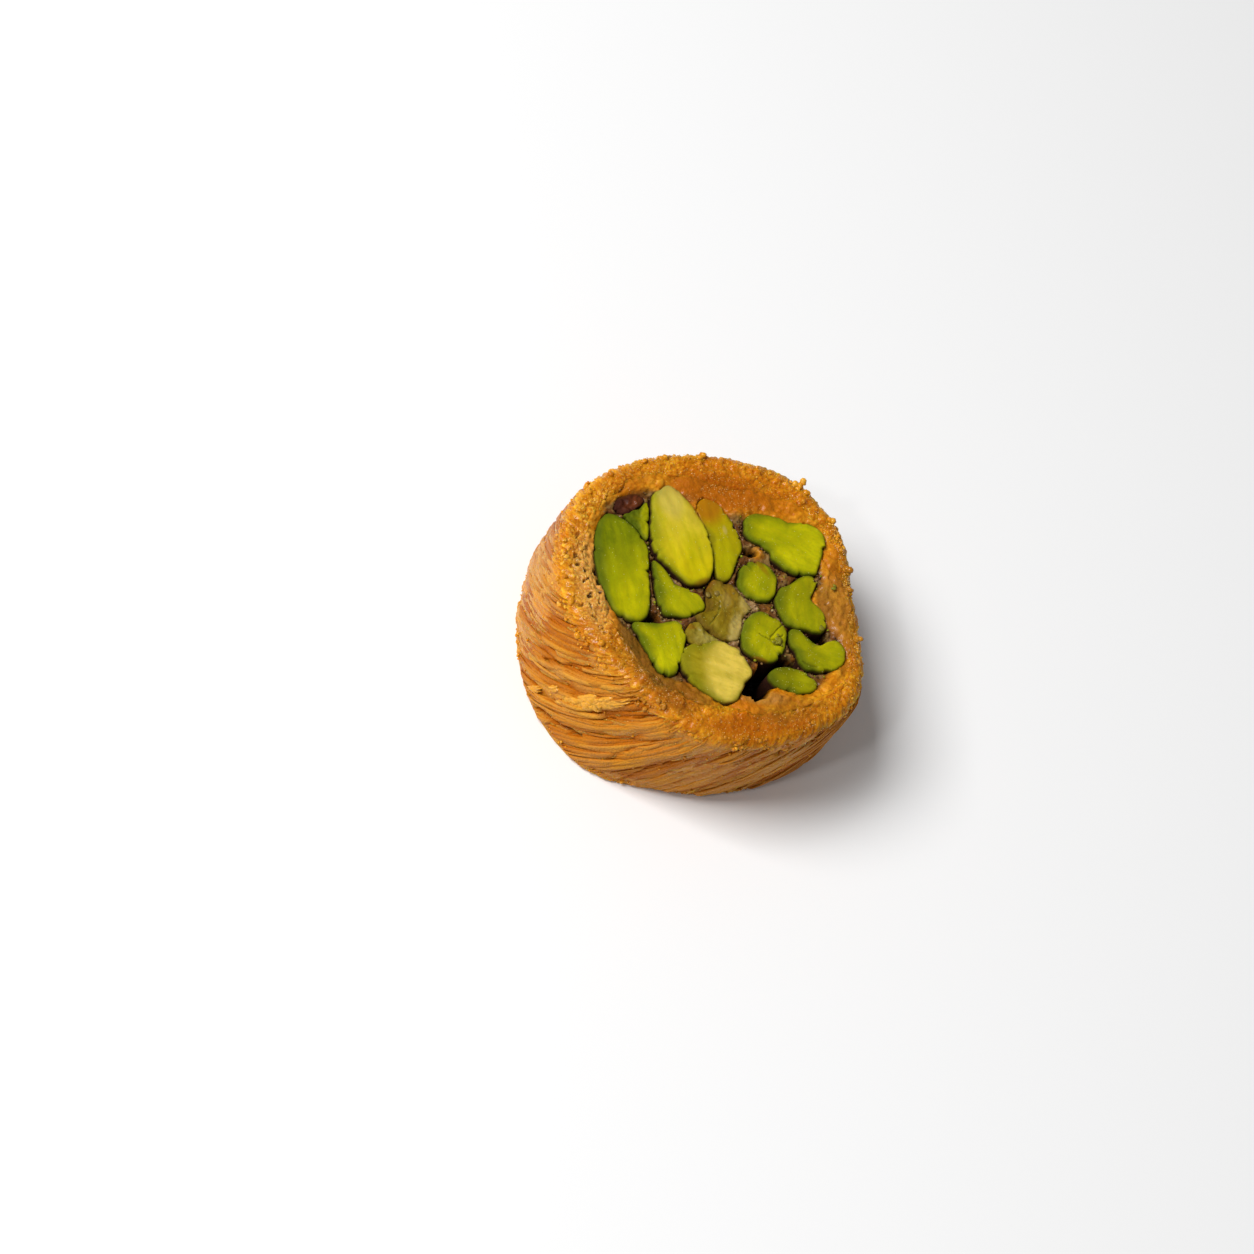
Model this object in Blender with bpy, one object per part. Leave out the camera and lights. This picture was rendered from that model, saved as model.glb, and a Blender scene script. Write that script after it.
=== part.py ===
"""One slice of a rolled pistachio kunafa, lying on one cut face with the other cut face up.

A thick ring of fine pastry strands, twisted like a rope, is packed with a sticky filling
and with whole and broken pistachio kernels that show at both cut faces.
Metres, +Z up. The origin is at the middle of the slice's footprint, on the surface below it.
"""
import math
import random

import bmesh
import bpy
from mathutils import Matrix, Vector, noise

MM = 0.001

# Driving dimensions, in millimetres
SLICE_HEIGHT = 18.0
HUB = (-0.14, 0.585)
# Radii about the hub, one every 22.5 degrees, turning from +X towards +Y
OUTER_TOP = (22.9, 20.3, 19.7, 21.9, 22.4, 21.2, 20.7, 21.2, 22.2, 22.5, 22.4, 21.0, 20.9, 22.6, 22.8, 22.9)
OUTER_BASE = (23.1, 20.4, 19.7, 21.7, 22.1, 21.1, 20.6, 21.1, 22.4, 22.1, 22.7, 23.7, 24.0, 22.0, 21.6, 22.1)
HOLE = (19.8, 18.4, 17.8, 19.3, 17.6, 15.6, 16.0, 17.9, 18.7, 18.6, 17.2, 16.6, 17.4, 17.4, 17.8, 18.5)
BARREL = 0.45
RIM_ROUND = 1.6
FOOT_ROUND = 0.7
GAP = 0.3
# The spare distance that is kept over the gap, as facets cut corners
SPARE = 0.05
# Heights of the ring's wall and hole points, and shares of its width for the points of its two faces
WALL_LEVELS = (0.35, 1.7, 4.4, 7.2, 10.0, 12.6, 14.8, 16.4, 17.4)
HOLE_LEVELS = (14.4, 10.8, 7.2, 3.6)
TOP_SHARES = (0.97, 0.78, 0.52, 0.24, 0.0)
FOOT_SHARES = (0.0, 0.3, 0.65, 0.96)

# The twisted strands of the wall
RIDGES = 57
RIDGE_STRENGTH = (0.55, 1.25)
RIDGE_WAVE = 0.2
# How steeply the strands climb, in degrees from level, one value every 22.5 degrees round the wall
LEAN = (42, 45, 48, 45, 42, 44, 47, 46, 44, 42, 38, 41, 48, 62, 54, 42)
TWIST_STEPS = 9
RIDGE_DEPTH = 0.45
GROOVE_EVERY = 5
GROOVE_EXTRA = 0.3
CRUMB_RELIEF = 0.42
INNER_SLOPE = 0.55
OUTER_SLOPE = 0.15

# Strands that stand out: angle, height of the lower end, length, width, lift of the upper end
SEEN_STRANDS = (
    (230.5, 4.6, 8.5, 0.9, 0.35),
    (248.0, 6.2, 9.5, 1.3, 0.25),
    (252.0, 1.2, 7.0, 1.2, 0.45),
    (244.0, 1.6, 6.0, 1.0, 0.2),
    (322.0, 12.6, 9.0, 0.9, 0.25),
    (300.0, 4.0, 9.0, 1.0, 0.15),
    (268.0, 9.5, 8.0, 0.9, 0.15),
    (205.0, 3.0, 9.0, 1.0, 0.3),
)
# More of them on the side that the photograph doesn't show: their number, and a range for each value
HIDDEN_STRANDS = 7
HIDDEN_RANGES = ((0, 185), (1.5, 9.0), (6.0, 10.0), (0.8, 1.3), (0.1, 0.4))
STRAND_STEPS = 5
STRAND_SINK = 0.4
STRAND_BOW = 0.2

# Lumps of crumb on the rim: one every so many degrees, shifted by up to so many, and their sizes
CRUMB_EVERY = 20
CRUMB_SHIFT = 9
CRUMB_SIZE = (0.55, 1.0)
CRUMB_BELOW = (0.35, 1.5)
CRUMB_SHAPE = (1.3, 0.8, 0.65)

# The filling, and how far it sinks below the pastry at each cut face
FILLING_SINK = 0.9
FILLING_RELIEF = 0.5
FOOT_SINK = 0.8
FILLING_SIDES = 36
FILLING_SHARES = (0.15, 0.5, 0.8, 1.0)

# Kernels: name, x, y, length, width, angle, taper, bend, squareness, height of the top over the cut face
TOP_KERNELS = (
    ("long_left", -11.9, -6.6, 15.6, 6.7, -50, 0.0, 6, 2.6, 0.05),
    ("pale_big", -8.6, 3.0, 13.6, 7.3, -41, 0.0, -6, 2.4, 0.45),
    ("olive", -3.6, 6.9, 11.4, 4.2, -52, -0.05, -16, 2.4, -0.2),
    ("top_bean", 3.5, 13.1, 11.6, 7.0, 18, 0.24, -8, 2.5, 0.15),
    ("round_mid", 3.4, 4.8, 5.8, 5.1, 105, -0.08, 0, 2.6, -0.1),
    ("bent_low", -4.4, -5.2, 8.4, 4.2, -26, 0.2, 36, 2.2, -0.05),
    ("hook_right", 10.1, 5.9, 10.0, 4.4, -47, 0.0, 115, 2.4, 0.1),
    ("hook_low", 15.0, 1.0, 8.5, 3.8, 24, 0.1, 95, 2.4, 0.0),
    ("cracked", 8.2, -2.2, 7.0, 5.6, 105, -0.05, 0, 2.4, 0.1),
    ("wedge", -2.1, -12.6, 7.2, 6.2, 2, 0.48, 0, 2.3, 0.1),
    ("pale_cut", 6.3, -11.0, 8.4, 7.9, -10, 0.03, 0, 2.5, 0.3),
    ("small_low", 14.7, -4.8, 6.4, 3.7, 28, 0.0, 8, 2.3, -0.35),
    ("crushed", 2.1, -2.4, 7.2, 5.5, 95, 0.0, 0, 2.6, -0.35),
    ("skin_end", -16.4, 2.7, 3.6, 2.4, 62, 0.0, 0, 2.2, -0.5),
    ("dark_chip", -13.9, 1.35, 2.8, 1.6, -62, 0.2, 0, 2.2, -0.25),
    ("pale_chip", 1.0, -7.7, 2.6, 1.9, -15, 0.0, 0, 2.4, -0.35),
)
# The same for the face below, where the last value is the height of the kernel's underside
FOOT_KERNELS = (
    ("right", 12.7, 3.2, 10.6, 6.2, 68, 0.05, 10, 2.4, 0.1),
    ("far", 6.2, 12.2, 11.0, 6.4, -22, 0.1, -6, 2.4, 0.15),
    ("far_left", -3.6, 10.5, 7.2, 5.0, 20, -0.1, 0, 2.3, 0.3),
    ("left_back", -12.0, 5.9, 9.4, 6.2, 50, 0.0, -8, 2.4, 0.1),
    ("left", -14.3, -2.7, 7.2, 6.0, -78, 0.05, 0, 2.5, 0.2),
    ("left_front", -8.0, -10.2, 11.0, 5.6, -34, 0.0, 10, 2.4, 0.1),
    ("front", 2.2, -12.6, 9.4, 6.2, 4, 0.15, 12, 2.3, 0.25),
    ("right_front", 11.1, -8.1, 9.4, 6.0, 50, 0.0, 12, 2.4, 0.1),
    ("mid_back", 4.9, 3.9, 8.2, 5.6, 70, 0.0, 0, 2.5, 0.15),
    ("mid_left", -3.2, 3.0, 8.2, 5.4, -48, 0.1, 0, 2.4, 0.2),
    ("mid_front", -5.2, -4.2, 9.4, 4.8, -26, 0.0, -14, 2.4, 0.3),
    ("mid_right", 4.5, -4.8, 7.8, 5.8, -30, 0.05, 0, 2.5, 0.1),
)
TOP_DEPTH = 7.8
FOOT_DEPTH = 7.2
SMALL_LENGTH = 4.0
SMALL_DEPTH = 3.4
KERNEL_EDGE = 4.6
KERNEL_DENT = 0.035
KERNEL_SIDES = 16
SMALL_SIDES = 12
POCKET_SIDES = 12

# Hollows between the kernels: x, y, length, width, angle, depth below the cut face
HOLLOWS = (
    (11.6, -8.2, 4.6, 2.8, 62, 6.0),
    (12.2, -3.4, 2.4, 1.0, 70, 4.0),
    (0.2, 8.2, 2.0, 1.2, 20, 4.0),
    (-5.9, -9.4, 2.2, 0.8, 30, 3.5),
    (13.6, 4.6, 2.4, 0.9, -30, 3.5),
)

# Base colour, roughness
COLOURS = {
    "pastry": ((0.60, 0.27, 0.055), 0.55),
    "filling": ((0.30, 0.16, 0.045), 0.45),
    "green": ((0.33, 0.42, 0.02), 0.35),
    "deep_green": ((0.18, 0.30, 0.01), 0.35),
    "pale": ((0.58, 0.55, 0.08), 0.35),
    "olive": ((0.36, 0.32, 0.02), 0.35),
    "skin": ((0.14, 0.035, 0.012), 0.4),
}
KERNEL_COLOURS = {
    "long_left": "deep_green",
    "pale_big": "pale",
    "pale_cut": "pale",
    "pale_chip": "pale",
    "olive": "olive",
    "crushed": "olive",
    "skin_end": "skin",
    "dark_chip": "deep_green",
    "mid_left": "pale",
    "far": "pale",
    "left_front": "deep_green",
}


def material(name):
    """A Principled material with the colour and roughness of one kind of food."""
    found = bpy.data.materials.get(name)
    if found:
        return found
    colour, roughness = COLOURS[name]
    made = bpy.data.materials.new(name)
    made.use_nodes = True
    shader = made.node_tree.nodes["Principled BSDF"]
    shader.inputs["Base Color"].default_value = (*colour, 1.0)
    shader.inputs["Roughness"].default_value = roughness
    shader.inputs["Metallic"].default_value = 0.0
    return made


def add_object(name, bm, colour):
    """Turn a bmesh in millimetres into a named object in metres."""
    bmesh.ops.transform(bm, matrix=Matrix.Scale(MM, 4), verts=bm.verts)
    bmesh.ops.recalc_face_normals(bm, faces=bm.faces)
    mesh = bpy.data.meshes.new(name)
    bm.to_mesh(mesh)
    bm.free()
    made = bpy.data.objects.new(name, mesh)
    bpy.context.scene.collection.objects.link(made)
    made.data.materials.append(material(colour))
    return made


def around(radii, angle):
    """The radius at an angle, on a smooth closed curve through evenly spaced radii."""
    count = len(radii)
    place = (angle / math.tau) * count % count
    i = int(place)
    f = place - i
    before, here, there, after = (radii[(i + k) % count] for k in (-1, 0, 1, 2))
    slope = there - before
    bow = 2 * before - 5 * here + 4 * there - after
    twist = 3 * (here - there) + after - before
    return here + 0.5 * f * (slope + f * (bow + f * twist))


def wall_radius(angle, z):
    """The outer radius without its strands: the two outlines blended, barrelled, edges rounded."""
    up = z / SLICE_HEIGHT
    radius = around(OUTER_BASE, angle) * (1 - up) + around(OUTER_TOP, angle) * up
    radius += BARREL * math.sin(math.pi * up)
    over = max(0.0, z - (SLICE_HEIGHT - RIM_ROUND)) / RIM_ROUND
    under = max(0.0, FOOT_ROUND - z) / FOOT_ROUND
    radius -= RIM_ROUND * (1 - math.sqrt(1 - min(over, 1.0) ** 2))
    radius -= FOOT_ROUND * (1 - math.sqrt(1 - min(under, 1.0) ** 2))
    return radius


def follow_strand(angle, z_from, z_to):
    """Walk along the wall's strands from one height to another; returns the angle reached."""
    step = (z_to - z_from) / TWIST_STEPS
    for _ in range(TWIST_STEPS):
        climb = math.tan(math.radians(around(LEAN, angle)))
        angle += step / (climb * around(OUTER_TOP, angle))
    return angle


def spin_profile(points, steps):
    """Spin a closed profile of (x, z) points once round the Z axis."""
    bm = bmesh.new()
    verts = [bm.verts.new((x, 0.0, z)) for x, z in points]
    edges = [bm.edges.new((a, b)) for a, b in zip(verts, verts[1:] + verts[:1])]
    bmesh.ops.spin(bm, geom=verts + edges, cent=(0, 0, 0), axis=(0, 0, 1), dvec=(0, 0, 0),
                   angle=math.tau, steps=steps, use_merge=True, use_normal_flip=False)
    return bm


def pastry_ring():
    """The roll's pastry: a spun ring, twisted and pressed into the uneven outlines."""
    rng = random.Random(11)
    strength = [rng.uniform(*RIDGE_STRENGTH) for _ in range(RIDGES)]
    deep = [GROOVE_EXTRA if k % GROOVE_EVERY == 0 else 0.0 for k in range(RIDGES)]
    hub_gap = 2.0
    wall = [(1.0, z) for z in WALL_LEVELS]
    top = [(t, SLICE_HEIGHT) for t in TOP_SHARES]
    hole = [(0.0, z) for z in HOLE_LEVELS]
    foot = [(t, 0.0) for t in FOOT_SHARES]
    bm = spin_profile([(hub_gap + t, z) for t, z in wall + top + hole + foot], 2 * RIDGES)
    for v in bm.verts:
        start = math.atan2(v.co.y, v.co.x) % math.tau
        across = math.hypot(v.co.x, v.co.y) - hub_gap
        z = v.co.z
        column = round(start / math.tau * 2 * RIDGES) % (2 * RIDGES)
        angle = follow_strand(start, SLICE_HEIGHT, z)
        outer = wall_radius(angle, z)
        inner = around(HOLE, angle)
        if across > 0.99:
            fade = min(1.0, z / 1.5, (SLICE_HEIGHT - z) / 2.5)
            ridge = column // 2
            lift = noise.noise(Vector((ridge * 1.7, z * 0.16, 0.0))) * RIDGE_WAVE
            groove = RIDGE_DEPTH * strength[ridge] + deep[ridge]
            outer += fade * (lift - (groove if column % 2 else 0.0))
        radius = inner + (outer - inner) * across
        if z > SLICE_HEIGHT - 0.01:
            grain = noise.noise(Vector((radius * math.cos(angle), radius * math.sin(angle), 3.0)) * 0.9)
            slope = -INNER_SLOPE * max(0.0, 1 - across / 0.3) - OUTER_SLOPE * across
            z += CRUMB_RELIEF * (grain + rng.uniform(-0.5, 0.5)) + slope
        v.co = (HUB[0] + radius * math.cos(angle), HUB[1] + radius * math.sin(angle), z)
    bmesh.ops.triangulate(bm, faces=bm.faces)
    return add_object("kataifi_roll", bm, "pastry")


def on_wall(angle, z, proud):
    """A point on the outside of the roll, in millimetres."""
    radius = wall_radius(angle, z) + proud
    return Vector((HUB[0] + radius * math.cos(angle), HUB[1] + radius * math.sin(angle), z))


def tube(name, points, width):
    """A tapered closed tube through a few points."""
    curve = bpy.data.curves.new(name, "CURVE")
    curve.dimensions = "3D"
    curve.bevel_depth = width / 2 * MM
    curve.bevel_resolution = 0
    curve.use_fill_caps = True
    spline = curve.splines.new("POLY")
    spline.points.add(len(points) - 1)
    for k, (target, place) in enumerate(zip(spline.points, points)):
        target.co = (*(place * MM), 1.0)
        target.radius = 0.55 + 0.55 * math.sin(math.pi * k / (len(points) - 1))
    guide = bpy.data.objects.new(name + "_guide", curve)
    bpy.context.scene.collection.objects.link(guide)
    shape = bpy.data.meshes.new_from_object(guide)
    bpy.data.objects.remove(guide)
    bpy.data.curves.remove(curve)
    bm = bmesh.new()
    bm.from_mesh(shape)
    bpy.data.meshes.remove(shape)
    bmesh.ops.remove_doubles(bm, verts=bm.verts, dist=1e-6)
    bmesh.ops.transform(bm, matrix=Matrix.Scale(1 / MM, 4), verts=bm.verts)
    return add_object(name, bm, "pastry")


def loose_strands():
    """Single strands and bundle edges that stand out of the wall, following its twist."""
    rng = random.Random(5)
    hidden = [[rng.uniform(*limits) for limits in HIDDEN_RANGES] for _ in range(HIDDEN_STRANDS)]
    made = []
    for k, (angle, z, length, width, lift) in enumerate([*SEEN_STRANDS, *hidden]):
        rise = length * math.sin(math.radians(around(LEAN, math.radians(angle))))
        rise = min(rise, SLICE_HEIGHT - RIM_ROUND / 2 - z)
        points = []
        for i in range(STRAND_STEPS + 1):
            f = i / STRAND_STEPS
            proud = STRAND_BOW * math.sin(math.pi * f) + lift * f ** 3 - STRAND_SINK
            reached = follow_strand(math.radians(angle), z, z + rise * f)
            points.append(on_wall(reached, z + rise * f, proud))
        made.append(tube("strand_%02d" % k, points, width))
    return made


def rim_crumbs():
    """Lumps of broken pastry on the rim."""
    rng = random.Random(23)
    made = []
    places = []
    for angle in range(4, 360, CRUMB_EVERY):
        places.append((angle + rng.uniform(-CRUMB_SHIFT, CRUMB_SHIFT), rng.uniform(*CRUMB_SIZE)))
    for k, (angle, size) in enumerate(places):
        bm = bmesh.new()
        bmesh.ops.create_icosphere(bm, subdivisions=1, radius=1.0)
        for v in bm.verts:
            v.co *= rng.uniform(0.8, 1.2)
        z = SLICE_HEIGHT - rng.uniform(*CRUMB_BELOW)
        middle = on_wall(math.radians(angle), z, -0.35 * size)
        shape = Matrix.Translation(middle) @ Matrix.Rotation(math.radians(angle + 40), 4, "Z")
        shape = shape @ Matrix.Diagonal((*(size * share for share in CRUMB_SHAPE), 1.0))
        bmesh.ops.transform(bm, matrix=shape, verts=bm.verts)
        made.append(add_object("crumb_%02d" % k, bm, "pastry"))
    return made


def drop_scraps(made):
    """Keep only the largest body of a mesh: a crumb that missed the wall falls off."""
    bm = bmesh.new()
    bm.from_mesh(made.data)
    left = set(bm.verts)
    bodies = []
    while left:
        body = set()
        reach = [left.pop()]
        while reach:
            v = reach.pop()
            body.add(v)
            for e in v.link_edges:
                other = e.other_vert(v)
                if other in left:
                    left.discard(other)
                    reach.append(other)
        bodies.append(body)
    bodies.sort(key=len, reverse=True)
    for body in bodies[1:]:
        bmesh.ops.delete(bm, geom=list(body), context="VERTS")
    bm.to_mesh(made.data)
    bm.free()


def boolean(target, tools, operation):
    """Join or cut a target with several objects in one Boolean, apply it, and drop the tools."""
    group = bpy.data.collections.new("tools")
    for tool in tools:
        group.objects.link(tool)
    step = target.modifiers.new("boolean", "BOOLEAN")
    step.operation = operation
    step.operand_type = "COLLECTION"
    step.collection = group
    step.solver = "EXACT"
    graph = bpy.context.evaluated_depsgraph_get()
    result = bpy.data.meshes.new_from_object(target.evaluated_get(graph))
    target.modifiers.remove(step)
    target.data = result
    for tool in tools:
        bpy.data.objects.remove(tool)
    bpy.data.collections.remove(group)


def kernel_place(u, v, spec, grow):
    """Press a point of the unit square outline into a kernel's own outline; returns x, y about the hub."""
    x, y, length, width, angle, taper, bend = spec
    across = v * (1 + taper * u) * (width / 2 + grow)
    along = u * (length / 2 + grow)
    if bend:
        arc = length / math.radians(bend)
        swing = along / arc
        along = (arc - across) * math.sin(swing)
        across = arc - (arc - across) * math.cos(swing) - (arc - arc * math.cos(math.radians(bend) / 2)) / 2
    c, s = math.cos(math.radians(angle)), math.sin(math.radians(angle))
    return x + along * c - across * s, y + along * s + across * c


def softened(value, power):
    """A cosine or sine drawn towards a square, for superellipse outlines."""
    return math.copysign(abs(value) ** (2 / power), value)


def kernel(name, spec, square, low, high, colour, sides):
    """A kernel: a sphere pressed into the outline, steep sides, crowned top and underside."""
    bm = bmesh.new()
    bmesh.ops.create_uvsphere(bm, u_segments=sides, v_segments=6, radius=1.0)
    middle = (low + high) / 2
    half = (high - low) / 2
    for v in bm.verts:
        turn = math.atan2(v.co.y, v.co.x)
        flat = min(1.0, math.hypot(v.co.x, v.co.y)) ** (2 / KERNEL_EDGE)
        dent = 1 + KERNEL_DENT * noise.noise(Vector((spec[0] + 2 * v.co.x, spec[1] + 2 * v.co.y, v.co.z)))
        u = softened(math.cos(turn), square) * flat * dent
        w = softened(math.sin(turn), square) * flat * dent
        px, py = kernel_place(u, w, spec, 0.0)
        v.co = (HUB[0] + px, HUB[1] + py, middle + half * softened(v.co.z, KERNEL_EDGE))
    return add_object(name, bm, colour)


def kernel_pocket(spec, square, low, high):
    """A prism round a kernel's outline, one gap larger, which cuts its pocket in the filling."""
    bm = bmesh.new()
    bmesh.ops.create_cone(bm, cap_ends=True, segments=POCKET_SIDES, radius1=1.0, radius2=1.0, depth=2.0)
    for v in bm.verts:
        turn = math.atan2(v.co.y, v.co.x)
        u = softened(math.cos(turn), square)
        w = softened(math.sin(turn), square)
        px, py = kernel_place(u, w, spec, GAP + SPARE)
        v.co = (HUB[0] + px, HUB[1] + py, high if v.co.z > 0 else low)
    return add_object("pocket", bm, "filling")


def kernel_extent(spec, level, is_top):
    """The lowest and highest point of a kernel, in millimetres."""
    small = spec[2] < SMALL_LENGTH
    if is_top:
        high = SLICE_HEIGHT + level
        return high - (SMALL_DEPTH if small else TOP_DEPTH), high
    return level, level + FOOT_DEPTH


def nut_filling():
    """The sticky filling that runs through the roll, with a pocket for each kernel and its hollows."""
    rng = random.Random(31)
    top = SLICE_HEIGHT - FILLING_SINK
    points = [(share, top) for share in FILLING_SHARES] + [(1.0, SLICE_HEIGHT / 2)]
    points += [(share, FOOT_SINK) for share in reversed(FILLING_SHARES)]
    bm = bmesh.new()
    verts = [bm.verts.new((x, 0.0, z)) for x, z in points]
    edges = [bm.edges.new(pair) for pair in zip(verts, verts[1:])]
    bmesh.ops.spin(bm, geom=verts + edges, cent=(0, 0, 0), axis=(0, 0, 1), dvec=(0, 0, 0),
                   angle=math.tau, steps=FILLING_SIDES, use_merge=True, use_normal_flip=False)
    bmesh.ops.holes_fill(bm, edges=[e for e in bm.edges if e.is_boundary], sides=FILLING_SIDES)
    for v in bm.verts:
        angle = math.atan2(v.co.y, v.co.x) % math.tau
        share = math.hypot(v.co.x, v.co.y)
        z = v.co.z
        radius = (around(HOLE, angle) - GAP - SPARE) * share
        if z > top - 0.01:
            z += FILLING_RELIEF * rng.uniform(-0.6, 0.6)
        if z < FOOT_SINK + 0.01:
            z += FILLING_RELIEF * rng.uniform(-0.3, 0.6)
        v.co = (HUB[0] + radius * math.cos(angle), HUB[1] + radius * math.sin(angle), z)
    bmesh.ops.triangulate(bm, faces=bm.faces)
    core = add_object("nut_filling", bm, "filling")
    tools = []
    for name, *shape, square, level in TOP_KERNELS:
        low, high = kernel_extent(shape, level, True)
        tools.append(kernel_pocket(shape, square, low - GAP, high + 1))
    for name, *shape, square, level in FOOT_KERNELS:
        low, high = kernel_extent(shape, level, False)
        tools.append(kernel_pocket(shape, square, low - 1, high + GAP))
    for x, y, length, width, angle, depth in HOLLOWS:
        shape = (x, y, length, width, angle, 0.0, 0.0)
        tools.append(kernel_pocket(shape, 2.0, SLICE_HEIGHT - depth, SLICE_HEIGHT + 1))
    for tool in tools:
        boolean(core, [tool], "DIFFERENCE")
    return core


def kernels():
    """All the kernels that show at the two cut faces."""
    for name, *shape, square, level in TOP_KERNELS:
        low, high = kernel_extent(shape, level, True)
        sides = SMALL_SIDES if shape[2] < SMALL_LENGTH else KERNEL_SIDES
        kernel("pistachio_" + name, shape, square, low, high, KERNEL_COLOURS.get(name, "green"), sides)
    for name, *shape, square, level in FOOT_KERNELS:
        low, high = kernel_extent(shape, level, False)
        colour = KERNEL_COLOURS.get(name, "green")
        kernel("pistachio_foot_" + name, shape, square, low, high, colour, SMALL_SIDES)


def main():
    """Clear the scene and build the slice."""
    for old in list(bpy.data.objects):
        bpy.data.objects.remove(old)
    roll = pastry_ring()
    boolean(roll, loose_strands() + rim_crumbs(), "UNION")
    drop_scraps(roll)
    nut_filling()
    kernels()
    for made in bpy.data.objects:
        print(made.name, len(made.data.polygons))


main()
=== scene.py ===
# %% [markdown]
# # A slice of rolled pistachio kunafa
# The sweet is a roll of fine pastry strands, wound round pistachios and syrupy crumb, baked, soaked
# and cut across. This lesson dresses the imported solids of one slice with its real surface: the
# strands of the wall, the grains of the cut faces, the sticky filling and the moist kernels.
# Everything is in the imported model's own frame, so nothing has to be fitted afterwards.

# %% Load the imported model
import math
from collections import namedtuple

import bmesh
import bpy
import numpy as np
from mathutils import Matrix, Vector, kdtree, noise


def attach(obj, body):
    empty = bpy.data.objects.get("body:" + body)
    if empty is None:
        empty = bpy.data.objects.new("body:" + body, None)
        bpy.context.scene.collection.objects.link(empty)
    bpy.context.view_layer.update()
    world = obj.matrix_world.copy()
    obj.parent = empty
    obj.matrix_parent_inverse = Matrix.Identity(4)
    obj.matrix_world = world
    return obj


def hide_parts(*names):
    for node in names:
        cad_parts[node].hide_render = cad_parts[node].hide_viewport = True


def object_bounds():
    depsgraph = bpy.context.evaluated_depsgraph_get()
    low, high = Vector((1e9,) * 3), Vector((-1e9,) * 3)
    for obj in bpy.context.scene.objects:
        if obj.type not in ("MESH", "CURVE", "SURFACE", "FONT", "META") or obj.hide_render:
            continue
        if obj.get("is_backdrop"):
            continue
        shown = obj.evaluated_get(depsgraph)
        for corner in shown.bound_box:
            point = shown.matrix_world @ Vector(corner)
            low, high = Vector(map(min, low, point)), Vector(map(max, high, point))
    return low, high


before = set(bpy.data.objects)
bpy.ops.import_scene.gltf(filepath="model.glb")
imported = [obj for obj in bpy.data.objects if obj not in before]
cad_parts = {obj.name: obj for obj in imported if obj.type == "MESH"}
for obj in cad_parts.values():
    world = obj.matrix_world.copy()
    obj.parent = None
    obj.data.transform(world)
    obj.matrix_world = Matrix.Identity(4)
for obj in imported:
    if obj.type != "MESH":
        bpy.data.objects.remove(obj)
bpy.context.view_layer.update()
MM = 0.001
ROOT = "root"
chance = np.random.default_rng(57)

# %% [markdown]
# ## The camera
# The slice in the photograph stands on its edge, with its cut face turned to the lens. Here it lies
# flat, and the camera keeps the same angle to the cut face: it looks down at 54 degrees and is
# rolled, so that the slice has the photograph's place, size and turn in the frame.

# %% Camera
ELEVATION = math.radians(54.0)
ROLL = math.radians(36.87)
LENS = 100.0
DISTANCE = 452.83 * MM
AIM = Vector((-6.85, -9.43, 12.18)) * MM
SENSOR = 36.0


def add_object(name, data):
    """An object that holds some data, linked into the scene."""
    thing = bpy.data.objects.new(name, data)
    bpy.context.scene.collection.objects.link(thing)
    return thing


def make_camera():
    """A camera that looks down at the cut face, rolled about its own axis."""
    data = bpy.data.cameras.new("camera")
    data.lens = LENS
    data.sensor_width = SENSOR
    data.clip_start = 10 * MM
    camera = add_object("camera", data)
    turn = Matrix.Rotation(math.pi / 2 - ELEVATION, 4, "X") @ Matrix.Rotation(ROLL, 4, "Z")
    back = turn @ Vector((0, 0, 1))
    camera.matrix_world = Matrix.Translation(AIM + back * DISTANCE) @ turn
    bpy.context.scene.camera = camera
    return camera


camera = make_camera()
print("camera at, mm:", [round(x / MM, 1) for x in camera.matrix_world.translation])

# %% [markdown]
# ## The slice's outlines
# The roll isn't round: it was pressed while soft. Sixteen radii round one hub give each outline,
# and a smooth closed curve runs through them, as in the solids. The strands climb the wall at an
# angle that changes round the slice, steepest at the lower edge of the photograph. The functions
# take whole arrays of angles and heights, so that a hundred thousand points take a blink.

# %% Outlines, in millimetres
SLICE = 18.0
HUB = np.array((-0.14, 0.585))
OUTER_TOP = (22.9, 20.3, 19.7, 21.9, 22.4, 21.2, 20.7, 21.2, 22.2, 22.5, 22.4, 21.0, 20.9, 22.6, 22.8, 22.9)
OUTER_BASE = (23.1, 20.4, 19.7, 21.7, 22.1, 21.1, 20.6, 21.1, 22.4, 22.1, 22.7, 23.7, 24.0, 22.0, 21.6, 22.1)
HOLE = (19.8, 18.4, 17.8, 19.3, 17.6, 15.6, 16.0, 17.9, 18.7, 18.6, 17.2, 16.6, 17.4, 17.4, 17.8, 18.5)
LEAN = (42, 45, 48, 45, 42, 44, 47, 46, 44, 42, 38, 41, 48, 62, 54, 42)
BARREL = 0.45
RIM_ROUND = 1.6
FOOT_ROUND = 0.7
# The usual radius, which turns angles into lengths along the wall
USUAL = 22.0
WALK_STEPS = 9


def around(values, angle):
    """The value at each angle, on a smooth closed curve through evenly spaced values."""
    ring = np.array(values, dtype=float)
    place = np.asarray(angle, dtype=float) / math.tau * len(ring) % len(ring)
    i = place.astype(int)
    f = place - i
    before, here, there, after = (ring[(i + k) % len(ring)] for k in (-1, 0, 1, 2))
    bow = 2 * before - 5 * here + 4 * there - after
    twist = 3 * (here - there) + after - before
    return here + 0.5 * f * (there - before + f * (bow + f * twist))


def quarter(depth, reach):
    """How far a rounded edge falls back, for a share of its reach from 0 to 1."""
    return depth * (1 - np.sqrt(1 - np.clip(reach, 0, 1) ** 2))


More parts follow.
